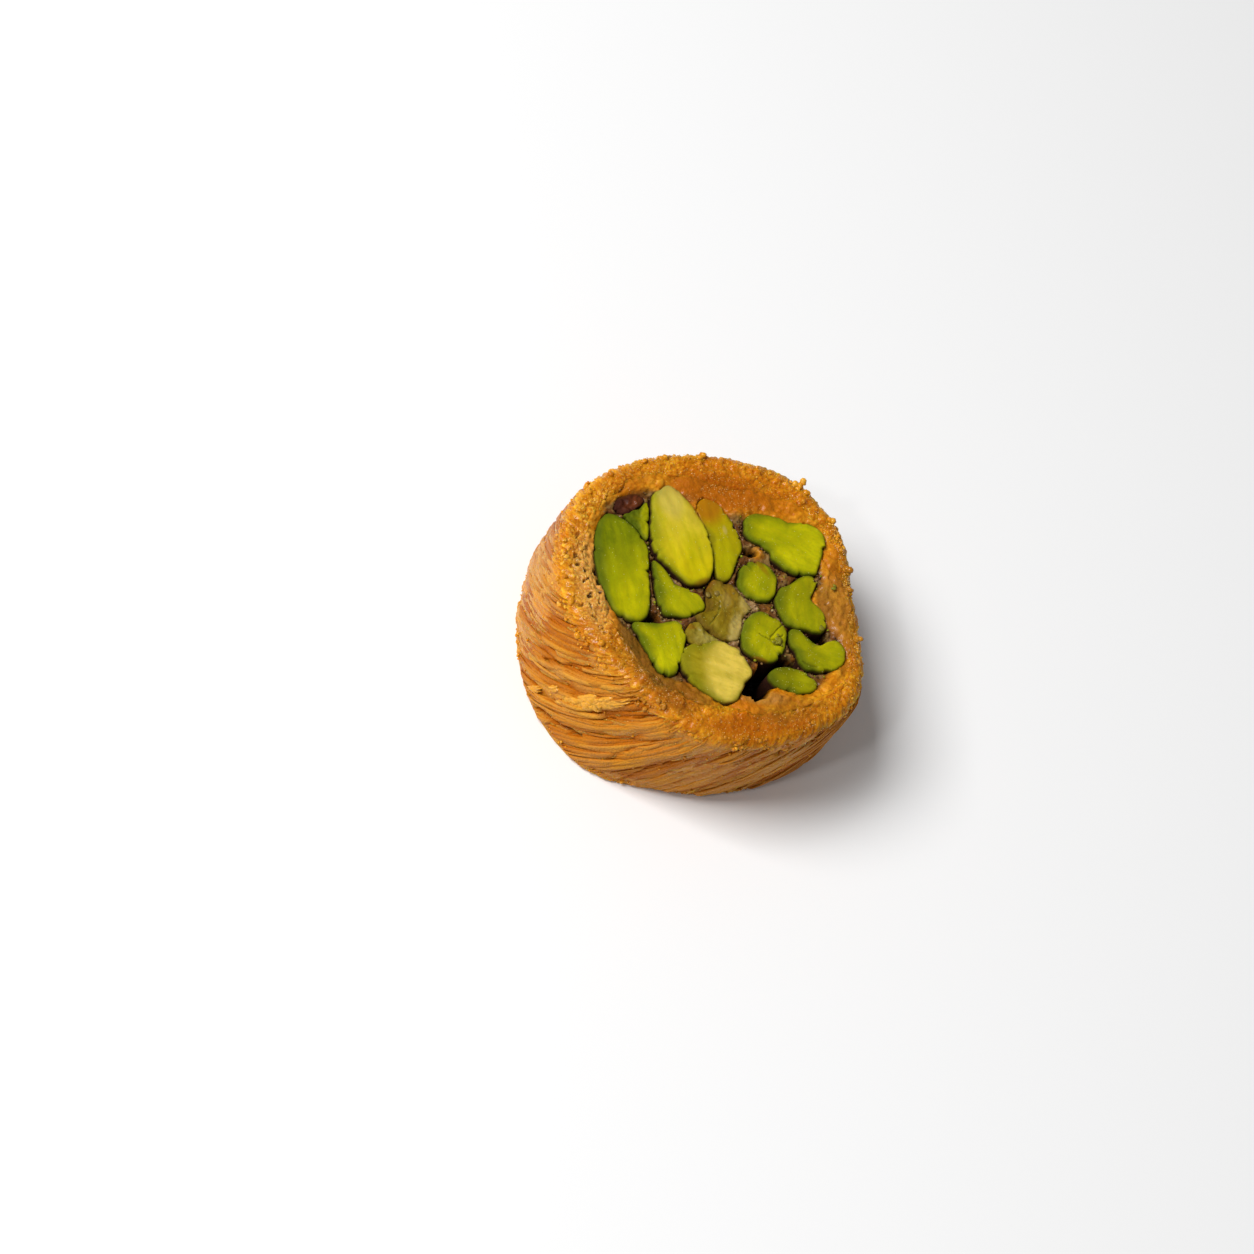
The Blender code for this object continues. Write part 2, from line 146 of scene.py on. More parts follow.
def wall_radius(angle, z):
    """The wall without its strands: two outlines blended, barrelled, with rounded edges."""
    up = np.clip(z / SLICE, 0, 1)
    radius = around(OUTER_BASE, angle) * (1 - up) + around(OUTER_TOP, angle) * up
    radius = radius + BARREL * np.sin(math.pi * up)
    radius = radius - quarter(RIM_ROUND, (z - SLICE + RIM_ROUND) / RIM_ROUND)
    return radius - quarter(FOOT_ROUND, (FOOT_ROUND - z) / FOOT_ROUND)


def walk(angle, z_from, z_to):
    """Follow the strands along the wall from one height to another; returns the angles reached."""
    step = (z_to - z_from) / WALK_STEPS
    for _ in range(WALK_STEPS):
        angle = angle + step / (np.tan(np.radians(around(LEAN, angle))) * around(OUTER_TOP, angle))
    return angle


def polar(angle, radius, z):
    """Points from angles and radii about the hub."""
    x = HUB[0] + radius * np.cos(angle)
    y = HUB[1] + radius * np.sin(angle)
    return np.stack(np.broadcast_arrays(x, y, z), axis=-1).astype(float)


print("wall at the front, mm:", round(float(wall_radius(math.radians(270), SLICE / 2)), 2))

# %% [markdown]
# ## Noise that shapes things
# Food is uneven at every size. Two kinds of unevenness do most of the work: soft noise, for slow
# waves and blotches, and domes, for packed grains. They come from mathutils and are read at many
# points at once.

# %% Noise for shapes
def smoothstep(low, high, value):
    """0 below low, 1 above high, and a soft slope between."""
    t = np.clip((value - low) / (high - low), 0, 1)
    return t * t * (3 - 2 * t)


def noise_places(points, size, seed):
    """Where the noise is read for each point, as plain lists."""
    return (np.asarray(points).reshape(-1, 3) / size + seed).tolist()


def soft_noise(points, size, seed=0.0):
    """Smooth noise with waves of about the given size at many points, from -1 to 1."""
    values = [noise.noise(Vector(p)) for p in noise_places(points, size, seed)]
    return np.array(values).reshape(np.shape(points)[:-1])


def wall_noise(angle, z, size, seed):
    """Soft noise at places on the wall, read as if the wall were plain and round."""
    return soft_noise(polar(angle, USUAL, z), size, seed)


def domes(points, size, seed=0.0):
    """Packed grains of about the given size: 1 on top of a grain, 0 where two meet."""
    near = np.array([noise.voronoi(Vector(p))[0][:2] for p in noise_places(points, size, seed)])
    return (1 - (near[:, 0] / np.maximum(near[:, 1], 1e-6)) ** 2).reshape(np.shape(points)[:-1])


def oval_reach(points, x, y, length, width, angle):
    """How far out each point lies in an oval: 0 in its middle, 1 on its edge."""
    c, s = math.cos(math.radians(angle)), math.sin(math.radians(angle))
    along = ((points[:, 0] - x) * c + (points[:, 1] - y) * s) / (length / 2)
    across = ((points[:, 1] - y) * c - (points[:, 0] - x) * s) / (width / 2)
    return np.hypot(along, across)


def spots(points, places):
    """How strongly each point lies in one of some soft ovals: x, y, length, width, angle, strength."""
    most = np.zeros(len(points))
    for *place, strength in places:
        most = np.maximum(most, strength * (1 - smoothstep(0.6, 1.35, oval_reach(points, *place))))
    return most


print("noise reads", soft_noise(polar(np.zeros(2), 20.0, 1.0), 1.0).shape[0], "points in one call")

# %% [markdown]
# ## Helpers for pieces
# Dense round meshes start as one flat grid that is rolled up and sewn, which is much quicker than
# spinning a profile hundreds of steps. Small repeated things start as one small mesh that is copied
# in an array. Each piece is shaped in millimetres and shrunk to metres as it becomes an object.
# Masks that a material needs, such as where syrup has soaked in, are named vertex attributes.

# %% Meshes and pieces
def mesh_from(bm, name):
    """A mesh with what a bmesh holds; the bmesh is freed."""
    mesh = bpy.data.meshes.new(name)
    bm.to_mesh(mesh)
    bm.free()
    return mesh


def sewn_grid(profile, columns):
    """Roll a grid round Z so that its rows follow (radius, z) points, and sew the edges shut."""
    bm = bmesh.new()
    rows = len(profile) - 1
    bmesh.ops.create_grid(bm, x_segments=columns, y_segments=rows, size=0.5)
    for v in bm.verts:
        angle = math.tau * round((v.co.x + 0.5) * columns) / columns
        radius, z = profile[round((v.co.y + 0.5) * rows)]
        v.co = (radius * math.cos(angle), radius * math.sin(angle), z)
    bmesh.ops.remove_doubles(bm, verts=bm.verts, dist=1e-5)
    bmesh.ops.recalc_face_normals(bm, faces=bm.faces)
    return mesh_from(bm, "sewn")


def points_of(mesh):
    """A mesh's vertices as an array."""
    flat = np.empty(len(mesh.vertices) * 3)
    mesh.vertices.foreach_get("co", flat)
    return flat.reshape(-1, 3)


def array_of(mesh, count):
    """One mesh that holds a small mesh many times over; its points are set afterwards."""
    faces = [tuple(p.vertices) for p in mesh.polygons]
    size = len(mesh.vertices)
    many = bpy.data.meshes.new("array")
    copies = [tuple(i + size * k for i in face) for k in range(count) for face in faces]
    many.from_pydata(np.zeros((size * count, 3)).tolist(), [], copies)
    return many


def finish_piece(name, mesh, points, material, slot, masks, *nodes):
    """Give a mesh its points in millimetres, its masks and its material, and make it a piece."""
    mesh.name = name
    mesh.vertices.foreach_set("co", (np.asarray(points) * MM).ravel())
    mesh.update()
    mesh.shade_smooth()
    for key, values in masks.items():
        layer = mesh.attributes.new(key, "FLOAT", "POINT")
        layer.data.foreach_set("value", np.clip(values, 0, 1).ravel())
    mesh.materials.append(material)
    piece = add_object(name, mesh)
    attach(piece, ROOT)
    if nodes:
        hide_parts(*nodes)
    print(name, "faces:", len(mesh.polygons))


def evenly(first, last, count):
    """Evenly spaced values, both ends included."""
    return [float(x) for x in np.linspace(first, last, count)]


# %% [markdown]
# ## Shader groups
# The pastry, its strands and the filling share two effects. Grain gives the small bumps and the
# uneven tone of crumb. Wet patches give the places where syrup stands. Both are node groups that
# put out plain values, and each material feeds them into its own shader.

# %% Shared node groups
def add_node(tree, kind, inputs, **settings):
    """A shader node; each of its inputs is fed by another node's output or set to a plain value."""
    node = tree.nodes.new("ShaderNode" + kind)
    for key, value in settings.items():
        setattr(node, key, value)
    for key, value in inputs.items():
        if isinstance(value, bpy.types.NodeSocket):
            tree.links.new(value, node.inputs[key])
        else:
            node.inputs[key].default_value = value
    return node


def make_group(name, inputs, outputs):
    """An empty node group with a Vector input, float inputs and outputs; its inner sockets follow."""
    group = bpy.data.node_groups.new(name, "ShaderNodeTree")
    group.interface.new_socket("Vector", in_out="INPUT", socket_type="NodeSocketVector")
    for label, value in inputs.items():
        socket = group.interface.new_socket(label, in_out="INPUT", socket_type="NodeSocketFloat")
        socket.default_value = value
    for label in outputs:
        group.interface.new_socket(label, in_out="OUTPUT", socket_type="NodeSocketFloat")
    return group, group.nodes.new("NodeGroupInput").outputs, group.nodes.new("NodeGroupOutput").inputs


def grain_group():
    """Grains of one size with finer ones on them, and a tone that changes from grain to grain."""
    group, enter, leave = make_group("crumb_grain", {"Scale": 2000.0}, ("Height", "Tone"))
    vector, scale = enter["Vector"], enter["Scale"]
    coarse = add_node(group, "TexVoronoi", {"Vector": vector, "Scale": scale}, feature="SMOOTH_F1").outputs
    finer = add_node(group, "Math", {0: scale, 1: 1.9}, operation="MULTIPLY").outputs[0]
    fine = add_node(group, "TexNoise", {"Vector": vector, "Scale": finer, "Detail": 3.0}).outputs
    high = add_node(group, "Math", {0: fine["Fac"], 1: coarse["Distance"]}, operation="SUBTRACT")
    apart = add_node(group, "SeparateColor", {"Color": coarse["Color"]})
    group.links.new(high.outputs[0], leave["Height"])
    group.links.new(apart.outputs["Red"], leave["Tone"])
    return group


def wet_group():
    """Roughness that falls where syrup stands, in soft patches broken up by finer noise."""
    group, enter, leave = make_group("wet_patches", {"Scale": 400.0, "Dry": 0.6, "Wet": 0.2}, ("Roughness",))
    noise_inputs = {"Vector": enter["Vector"], "Scale": enter["Scale"], "Detail": 4.0}
    cloud = add_node(group, "TexNoise", noise_inputs).outputs["Fac"]
    spread_inputs = {"From Min": 0.35, "From Max": 0.65, "To Min": enter["Dry"], "To Max": enter["Wet"]}
    spread = add_node(group, "MapRange", {"Value": cloud, **spread_inputs})
    group.links.new(spread.outputs["Result"], leave["Roughness"])
    return group


GRAIN = grain_group()
WET = wet_group()
print("shader groups:", GRAIN.name, WET.name)

# %% [markdown]
# A material is put together by a small helper class, so that each finish below reads as a short
# recipe: attributes and noises are mixed into the base colour, and a bump node gets the grain.

# %% Material recipes
FLESH_DEPTH = 1.0
# Sockets of the mixing node that hold colours
COLOUR_A, COLOUR_B, MIXED = 6, 7, 2


def srgb(code):
    """A web colour as linear light, fully opaque."""
    parts = [int(code[k:k + 2], 16) / 255 for k in (0, 2, 4)]
    return (*(p / 12.92 if p <= 0.04045 else ((p + 0.055) / 1.055) ** 2.4 for p in parts), 1.0)


class Finish:
    """A Principled material that is built step by step."""

    def __init__(self, name, roughness=0.5, coat=0.0, flesh=0.0, shine=0.2, depth=FLESH_DEPTH):
        self.material = bpy.data.materials.new(name)
        self.material.use_nodes = True
        self.tree = self.material.node_tree
        self.shader = self.tree.nodes["Principled BSDF"]
        plain = {
            "Roughness": roughness, "Specular IOR Level": shine, "Coat Weight": coat, "Coat Roughness": 0.15,
            "Subsurface Weight": flesh, "Subsurface Scale": depth * MM, "Subsurface Radius": (1.0, 0.7, 0.25),
        }
        for socket, value in plain.items():
            self.shader.inputs[socket].default_value = value
        self.place = add_node(self.tree, "TexCoord", {}).outputs["Object"]

    def mask(self, name):
        """The value of a vertex attribute."""
        return add_node(self.tree, "Attribute", {}, attribute_name=name).outputs["Fac"]

    def spread(self, value, low, high, to_low=0.0, to_high=1.0):
        """Stretch a value's range, clamped at both ends."""
        inputs = {"Value": value, "From Min": low, "From Max": high, "To Min": to_low, "To Max": to_high}
        return add_node(self.tree, "MapRange", inputs).outputs["Result"]

    def cloud(self, size, low=0.35, high=0.65, detail=3.0):
        """Soft noise with blotches of about the given size in millimetres, spread to 0 to 1."""
        inputs = {"Vector": self.place, "Scale": 1 / (size * MM), "Detail": detail}
        return self.spread(add_node(self.tree, "TexNoise", inputs).outputs["Fac"], low, high)

    def times(self, a, b):
        """Two values multiplied; b may be a number."""
        return add_node(self.tree, "Math", {0: a, 1: b}, operation="MULTIPLY").outputs[0]

    def mix(self, amount, a, b):
        """Colour a where amount is 0, colour b where it is 1; each is a web colour or an output."""
        a, b = (srgb(colour) if isinstance(colour, str) else colour for colour in (a, b))
        inputs = {"Factor": amount, COLOUR_A: a, COLOUR_B: b}
        return add_node(self.tree, "Mix", inputs, data_type="RGBA").outputs[MIXED]

    def layers(self, colour, **coats):
        """Lay colours over one another, each as strongly as the mask that it is named for."""
        for name, coat in coats.items():
            colour = self.mix(self.mask(name), colour, coat)
        return colour

    def group(self, tree, **values):
        """Place a shared node group with its own values; returns its outputs."""
        return add_node(self.tree, "Group", {"Vector": self.place, **values}, node_tree=tree).outputs

    def bump(self, height, depth, strength=1.0):
        """Raise the surface by a height output, depth in millimetres."""
        inputs = {"Height": height, "Strength": strength, "Distance": depth * MM}
        self.feed("Normal", add_node(self.tree, "Bump", inputs).outputs["Normal"])

    def feed(self, socket, value):
        """Drive one of the shader's inputs."""
        self.tree.links.new(value, self.shader.inputs[socket])


print("a golden brown in linear light:", [round(x, 3) for x in srgb("C27404")])

# %% [markdown]
# ## The baked pastry
# One profile makes a dense ring that is then pressed into shape. On the wall each column of points
# follows a strand, so the columns carry fine ridges and the deeper grooves between bundles. On the
# two cut faces the same ring is crumbly: lumps, grains and pits. Masks keep the grooves, whose darker
# orange is partly syrup and partly painted shade, the syrup-soaked amber zones, the pale porous crumb,
# the damp zone, and the crests and crevices of crumb, which get painted highlight and painted shade.

# %% Pastry finish
def crumb_colour(f, grain):
    """Golden crumb with amber syrup, dry beige and damp grey-brown zones, painted highlight on crests and
    painted shade in crevices and pits; crust and filling share it.
    """
    gold = f.mix(grain["Tone"], "C27404", "ECA41E")
    gold = f.mix(f.times(f.cloud(4.0, 0.4, 0.62), 0.8), gold, "C06C02")
    # Painted highlight: crests are a lighter gold. Painted shade: crevices are a darker orange.
    gold = f.mix(f.mask("crest_highlight"), gold, "F2B63A")
    colour = f.mix(f.times(f.mask("crevice_shade"), 0.38), gold, "B06202")
    colour = f.mix(f.mask("amber"), colour, "AE5E02")
    colour = f.mix(f.times(f.mask("beige"), 0.9), colour, "D69844")
    # Damp zones are a darker grey-brown; pits get painted shade, a deep brown.
    return f.layers(colour, damp="6E4A12", pit="502C04")


def pastry_finish():
    """Tan strands with orange grooves on the wall, partly syrup and partly painted shade, crumb on the cut
    faces.
    """
    f = Finish("baked_pastry", roughness=0.5, coat=0.25, flesh=0.9, shine=0.06, depth=1.4)
    grain = f.group(GRAIN, Scale=1900.0)
    wet = f.group(WET, Scale=260.0, Dry=0.55, Wet=0.3)
    tan = f.mix(f.cloud(4.0), "CC8426", "C07E30")
    tan = f.mix(f.times(f.cloud(1.1), 0.5), tan, "D6942A")
    # The grooves are a darker orange-brown: partly syrup, partly painted shade.
    wall = f.mix(f.mask("groove"), tan, "BA6806")
    f.feed("Base Color", f.mix(f.mask("face"), wall, crumb_colour(f, grain)))
    f.feed("Roughness", wet["Roughness"])
    f.bump(grain["Height"], 0.2, 0.65)
    return f.material


PASTRY = pastry_finish()
print("finish:", PASTRY.name)

# %% Relief of the wall
BUNDLE = 2.3
STRAND = 0.42
STRAND_DEPTH = 0.2
GROOVE_DEPTH = 0.35
# Soft spots on the shown cut face: x, y, length, width, angle, strength
AMBER = (
    (-7.8, 13.2, 15, 5.6, 33, 0.95), (14.5, -13.5, 17, 4, 42, 0.8), (-18.5, 6.0, 9, 4, 70, 0.4),
    (2.0, -19.5, 14, 3.5, 0, 0.6),
)
BEIGE = ((-13.8, -11.2, 14, 4.6, -50, 1.0), (13.5, 9.6, 9, 5, -50, 0.25), (12.6, -9.4, 6.5, 2.0, 36, 0.6))
DAMP = (
    (-5.3, -14.1, 8, 4.0, -35, 0.9), (-0.4, -16.6, 8, 3.6, -8, 0.8), (4.6, -15.8, 7, 2.6, 12, 0.65),
    (3.0, -18.8, 9, 4.5, 38, 0.35), (15.0, 10.6, 17, 7.5, -62, 0.42), (16.5, -8.5, 10, 4, 50, 0.35),
    (12.4, -9.6, 7, 2.2, 36, 0.4), (12.2, 9.2, 6.5, 2.6, -52, 0.6), (18.8, 2.6, 4.5, 1.6, -75, 0.4),
    (-3.0, -18.4, 9, 3.6, -20, 0.28),
)
# Marks on the wall, along strands: two ends as angle and height, width, how far the wall rises
WALL_MARKS = (
    (250, 6.5, 266, 14.4, 1.5, 0.3), (246, 1.6, 262, 4.6, 0.9, -0.9), (324, 14.2, 334, 14.6, 0.7, -0.8),
    (337, 14.4, 347, 14.2, 0.7, -0.7), (230, 4.6, 243, 10.4, 0.45, 0.35), (262, 9.0, 278, 16.0, 0.5, -0.5),
    (236, 8.0, 250, 14.5, 0.5, -0.45), (285, 6.0, 300, 13.5, 0.45, -0.45),
)


def zones(points):
    """How strongly syrup, dry crumb and damp crumb take hold on the shown cut face."""
    return {"amber": spots(points, AMBER), "beige": spots(points, BEIGE), "damp": spots(points, DAMP)}


def facing(angle, middle, breadth):
    """1 where the slice faces one way, in degrees, and less the farther an angle is from it."""
    return np.exp(-((np.degrees(angle) % 360 - middle) / breadth) ** 2)


def plaster(angle, z):
    """Where syrup has pressed the strands flat: 1 there, 0 where they stand free."""
    return smoothstep(-0.1, 0.35, wall_noise(angle, z, 7.0, 3.0) + 0.35 * facing(angle, 205, 22))


def bundle_groove(start, z):
    """Grooves between bundles, which run with the strands and fade in and out; the wall is painted darker in
    them, partly as shade.
    """
    crease = np.abs(wall_noise(start, z * 0.22, BUNDLE, 11.0))
    depth = smoothstep(-0.25, 0.35, wall_noise(start, z * 0.5, 6.0, 20.0))
    return depth * (1 - smoothstep(0.02, 0.12, crease))


def bundle_rise(start, z):
    """Slow steps that lift some bundles over their neighbours, in millimetres."""
    return 0.22 * np.tanh(3.0 * wall_noise(start, z * 0.18, BUNDLE, 31.0))


def wall_run(turn_a, z_a, turn_b, z_b):
    """How far a line on the wall runs round it and how far up, in millimetres."""
    return np.array((math.radians(turn_b - turn_a) * USUAL, z_b - z_a))


def wall_marks(angle, z):
    """Flakes that stand up from the wall and splits that open in it, in millimetres."""
    turn = np.degrees(angle) % 360
    rough = 0.5 * wall_noise(angle, z, 0.9, 47.0)
    total = np.zeros(np.shape(angle))
    for turn_a, z_a, turn_b, z_b, width, rise in WALL_MARKS:
        run = wall_run(turn_a, z_a, turn_b, z_b)
        x, y = np.radians(turn - turn_a) * USUAL, z - z_a
        share = (x * run[0] + y * run[1]) / (run @ run)
        off = (x * run[1] - y * run[0]) / math.hypot(*run)
        past = np.maximum(np.abs(share - 0.5) - 0.5, 0) * math.hypot(*run)
        total = total + rise * (1 - smoothstep(0.6, 1.25, np.hypot(off, past) / (width / 2) + rough))
    return total


print("marks on the wall:", len(WALL_MARKS))

# %% [markdown]
# The crumb of a cut face has lumps of three sizes that share one set of crests, crevices and pits.
# Crests get a painted highlight, and crevices and pits get painted shade. The crumb lies calmer where
# syrup has soaked it, and it spills over the rim onto the wall. The crust and the filling use the
# same relief, so the two meet without a seam.

# %% Relief of the cut faces
def crumb_edge(angle, z):
    """How far crumb from the cut covers the wall: 1 on it, 0 below; deepest at the photograph's top."""
    ragged = 0.8 * wall_noise(angle, z, 1.6, 15.0) + 0.5 * wall_noise(angle, z, 0.6, 16.0)
    return smoothstep(-0.6, 0.6, z - SLICE + 1.5 + 1.6 * facing(angle, 135, 42) + ragged)


def sunny(points):
    """1 on the left of the photograph, where the light falls, the rim is a bright gold and crests get more
    painted highlight, and 0 away from it.
    """
    return facing(np.arctan2(points[:, 1] - HUB[1], points[:, 0] - HUB[0]), 195, 50)


def crumb_lift(points):
    """Lumps and slow waves of crumb over its own level; its crests for painted highlight, its crevices for
    painted shade, and its pits.
    """
    porous = spots(points, BEIGE)
    sun = sunny(points)
    bent = points + 0.3 * soft_noise(points, 0.7, 2.0)[:, None]
    large, middling, small = (domes(bent, size, 5.0 + size) for size in (1.7, 0.9, 0.5))
    lift = (0.34 - 0.24 * porous) * (large - 0.6) + (0.2 + 0.15 * porous) * (middling - 0.6)
    lift = lift + (0.1 + 0.03 * sun) * (small - 0.6) + 0.4 * soft_noise(points, 2.6)
    proud = 0.3 * large + 0.4 * middling + 0.3 * small
    crest_highlight = (0.25 + 0.45 * sun) * smoothstep(0.65 - 0.3 * sun, 1.0 - 0.2 * sun, proud)
    low = np.maximum(smoothstep(0.3, 0.0, large), 0.8 * smoothstep(0.3, 0.0, middling))
    holes = smoothstep(0.4 - 0.2 * porous, 0.5 - 0.15 * porous, soft_noise(points, 0.75, 8.0))
    return lift, crest_highlight, low * (1 - 0.5 * porous), holes * (0.1 + 0.9 * porous)


def face_relief(points, across):
    """Height of the crumb on the shown cut face over the cut, and where it is creased and pitted; crests and
    creases get painted highlight and painted shade.
    """
    calm = 1 - 0.6 * np.maximum(spots(points, AMBER), 0.3 * spots(points, DAMP))
    lift, crest_highlight, crevice_shade, pit = crumb_lift(points)
    inner = 0.35 * smoothstep(0.22, 0.0, across)
    return calm * lift - 0.55 * pit - inner, calm * crest_highlight, calm * crevice_shade, pit


rim_sample = polar(evenly(0.0, math.tau, 90), 20.0, SLICE)
print("crumb relief on the crust, mm:", round(float(np.ptp(face_relief(rim_sample, 0.5)[0])), 2))

# %% [markdown]
# Now the ring is pressed. Each point starts on a plain tube, walks along its strand to its own
# height, and is pushed in or out by the relief. The two cut faces are told apart from the wall by
# their heights, and the hidden one has coarse crumb by the same rules as the shown one.

# %% The pastry ring
COLUMNS = 900
FACE_RINGS = 30
RING_OFFSET = 2.0


def wall_relief(start, angle, z):
    """How far bundles, strands and marks raise the wall, and how much darker their grooves and splits are
    painted, partly as shade.
    """
    flat = plaster(angle, z)
    fine = 0.5 - 0.5 * wall_noise(start, z * 0.06, STRAND, 41.0)
    deep = bundle_groove(start, z) * (1 - 0.6 * flat)
    marks = wall_marks(angle, z)
    rise = bundle_rise(start, z) - STRAND_DEPTH * fine * (1 - 0.4 * flat) - GROOVE_DEPTH * deep + marks
    return rise, 0.8 * deep + 0.4 * fine * (1 - 0.5 * flat) + smoothstep(0.1, 0.7, -marks)


def press_pastry(mesh):
    """Press the rolled-up ring into the slice; returns its points and masks."""
    raw = points_of(mesh)
    start = np.arctan2(raw[:, 1], raw[:, 0]) % math.tau
    across = np.hypot(raw[:, 0], raw[:, 1]) - RING_OFFSET
    z = raw[:, 2]
    angle = walk(start, SLICE, z)
    rim = crumb_edge(angle, z)
    on_wall = across > 0.99
    hold = (1 - 0.7 * rim) * smoothstep(0.0, 1.0, z) * on_wall
    rise, groove = wall_relief(start, angle, z)
    outer = wall_radius(angle, z) + hold * rise
    outer = outer + hold * 0.1 * wall_noise(angle, z, 0.6, 64.0)
    rough = polar(angle, outer, z)
    rough = rough + 0.3 * soft_noise(rough, 0.7, 2.0)[..., None]
    puffs = domes(rough, 1.5, 7.0) + 0.5 * domes(rough, 0.7, 6.0)
    heel = smoothstep(2.4, 0.8, z) * smoothstep(0.0, 0.4, z)
    outer = outer + np.maximum(rim, 0.6 * heel) * on_wall * 0.5 * (puffs - 0.95)
    inner = around(HOLE, angle)
    points = polar(angle, inner + (outer - inner) * across, z)
    on_top = z > SLICE - 0.01
    on_foot = (z < 0.01) & (across > 0.02) & (across < 0.98)
    lift, crest_highlight, crevice_shade, pit = face_relief(points, across)
    points[:, 2] += on_top * lift
    foot_pit = smoothstep(0.25, 0.5, soft_noise(points, 0.7, 60.0) + 0.2 * soft_noise(points, 4.0, 61.0))
    foot_lift = 0.3 * foot_pit + 0.25 * (1 - domes(points, 1.1, 70.0))
    points[:, 2] += on_foot * (foot_lift + 0.12 * (1 - domes(points, 0.5, 71.0)))
    below = (1 - on_top) * rim
    # Painted highlight on the rim's puffs, most on the lit left; painted shade between them.
    golden = smoothstep(0.9, 1.4, puffs) * (0.3 + 0.5 * sunny(points))
    masks = {key: on_top * value for key, value in zones(points).items()}
    masks["amber"] += on_foot * smoothstep(0.1, 0.5, soft_noise(points, 7.0, 62.0))
    masks["beige"] += on_foot * smoothstep(0.0, 0.4, soft_noise(points, 6.0, 63.0))
    masks["groove"] = hold * groove
    masks["face"] = np.maximum(np.maximum(on_top, z < 0.01), rim)
    masks["crest_highlight"] = np.maximum(on_top * crest_highlight, below * golden)
    masks["crevice_shade"] = np.maximum(on_top * crevice_shade, below * smoothstep(0.6, 0.2, puffs))
    masks["pit"] = on_top * pit + on_foot * 0.8 * foot_pit
    return points, masks


WALL_PROFILE = [(RING_OFFSET + 1.0, z) for z in evenly(0.1, SLICE - 0.25, 46)]
FACE_PROFILE = [(RING_OFFSET + t, SLICE) for t in evenly(0.985, 0.0, FACE_RINGS)]
HOLE_PROFILE = [(RING_OFFSET, z) for z in evenly(SLICE - 2.0, 2.0, 5)]
FOOT_PROFILE = [(RING_OFFSET + t, 0.0) for t in evenly(0.0, 0.98, 20)]
ring_profile = WALL_PROFILE + FACE_PROFILE + HOLE_PROFILE + FOOT_PROFILE
ring = sewn_grid(ring_profile + ring_profile[:1], COLUMNS)
ring_points, ring_masks = press_pastry(ring)
finish_piece("kataifi_ring", ring, ring_points, PASTRY, "pastry", ring_masks, "kataifi_roll")

# %% [markdown]
# ## Strands on the wall
# Relief alone looks carved. The roll is wound from separate strands, so well over a thousand are laid
# on the ring, each a thin closed tube that follows the winding, dips into the wall at its ends and
# lies a little higher or lower than its neighbours. A strand is one small sewn grid, and an array
# of it is bent along all the paths at once. Each strand keeps its own tint.

# %% Strand finish
def strand_finish():
    """Tan to golden strands, each with its own tint, wetter in patches, with painted shade on their flanks
    and on sunk strands.
    """
    f = Finish("pastry_strands", roughness=0.45, coat=0.08, shine=0.06)
    wet = f.group(WET, Scale=300.0, Dry=0.56, Wet=0.26)
    tint = f.mask("tint")
    low = f.mix(f.spread(tint, 0.0, 0.5), "B86E0E", "CA8220")
    colour = f.mix(f.spread(tint, 0.5, 1.0), low, "DE9C30")
    colour = f.mix(f.times(f.cloud(3.5, 0.4, 0.6), 0.6), colour, "C48236")
    # Painted shade: the flanks and undersides of strands, and strands that lie sunk, are darker.
    f.feed("Base Color", f.layers(colour, edge="BC6604", sunk="B05E02"))
    f.feed("Roughness", wet["Roughness"])
    f.bump(f.cloud(0.28, 0.3, 0.7), 0.14, 0.8)
    return f.material


STRANDS = strand_finish()
print("finish:", STRANDS.name)

# %% Laying strands
STATIONS = 16
STRAND_SIDES = 6
FLATNESS = 0.4


def strand_mesh(count):
    """An array of closed tubes, the cosine and sine of each point's side, and its station."""
    shaft = [(1.0, float(k)) for k in range(STATIONS)]
    tube = sewn_grid([(0.0, 0.0)] + shaft + [(0.0, STATIONS - 1.0)], STRAND_SIDES)
    template = points_of(tube)
    return array_of(tube, count), template[:, :2], np.rint(template[:, 2]).astype(int)


def bend_strands(sides, k, centre, outward, width, thick):
    """Place every tube round its centre line: flat side on the wall, closed at both ends."""
    ahead = np.gradient(centre, axis=1)
    ahead /= np.linalg.norm(ahead, axis=2, keepdims=True)
    side = np.cross(outward, ahead)
    side /= np.linalg.norm(side, axis=2, keepdims=True)
    up = np.cross(ahead, side)
    wide = (width / 2)[:, k, None] * sides[None, :, 0, None]
    high = (thick / 2)[:, k, None] * sides[None, :, 1, None]
    return centre[:, k] + side[:, k] * wide + up[:, k] * high


def wall_paths(angle, z, lean, sway):
    """Follow the winding from one angle over given heights, leaning and swaying a little off it."""
    angles = [angle]
    for k in range(1, z.shape[1]):
        here = angles[-1]
        climb = np.tan(np.radians(np.clip(around(LEAN, here) + lean, 20, 80)))
        angles.append(here + (z[:, k] - z[:, k - 1]) / (climb * around(OUTER_TOP, here)))
    return np.stack(angles, axis=1) + sway / USUAL


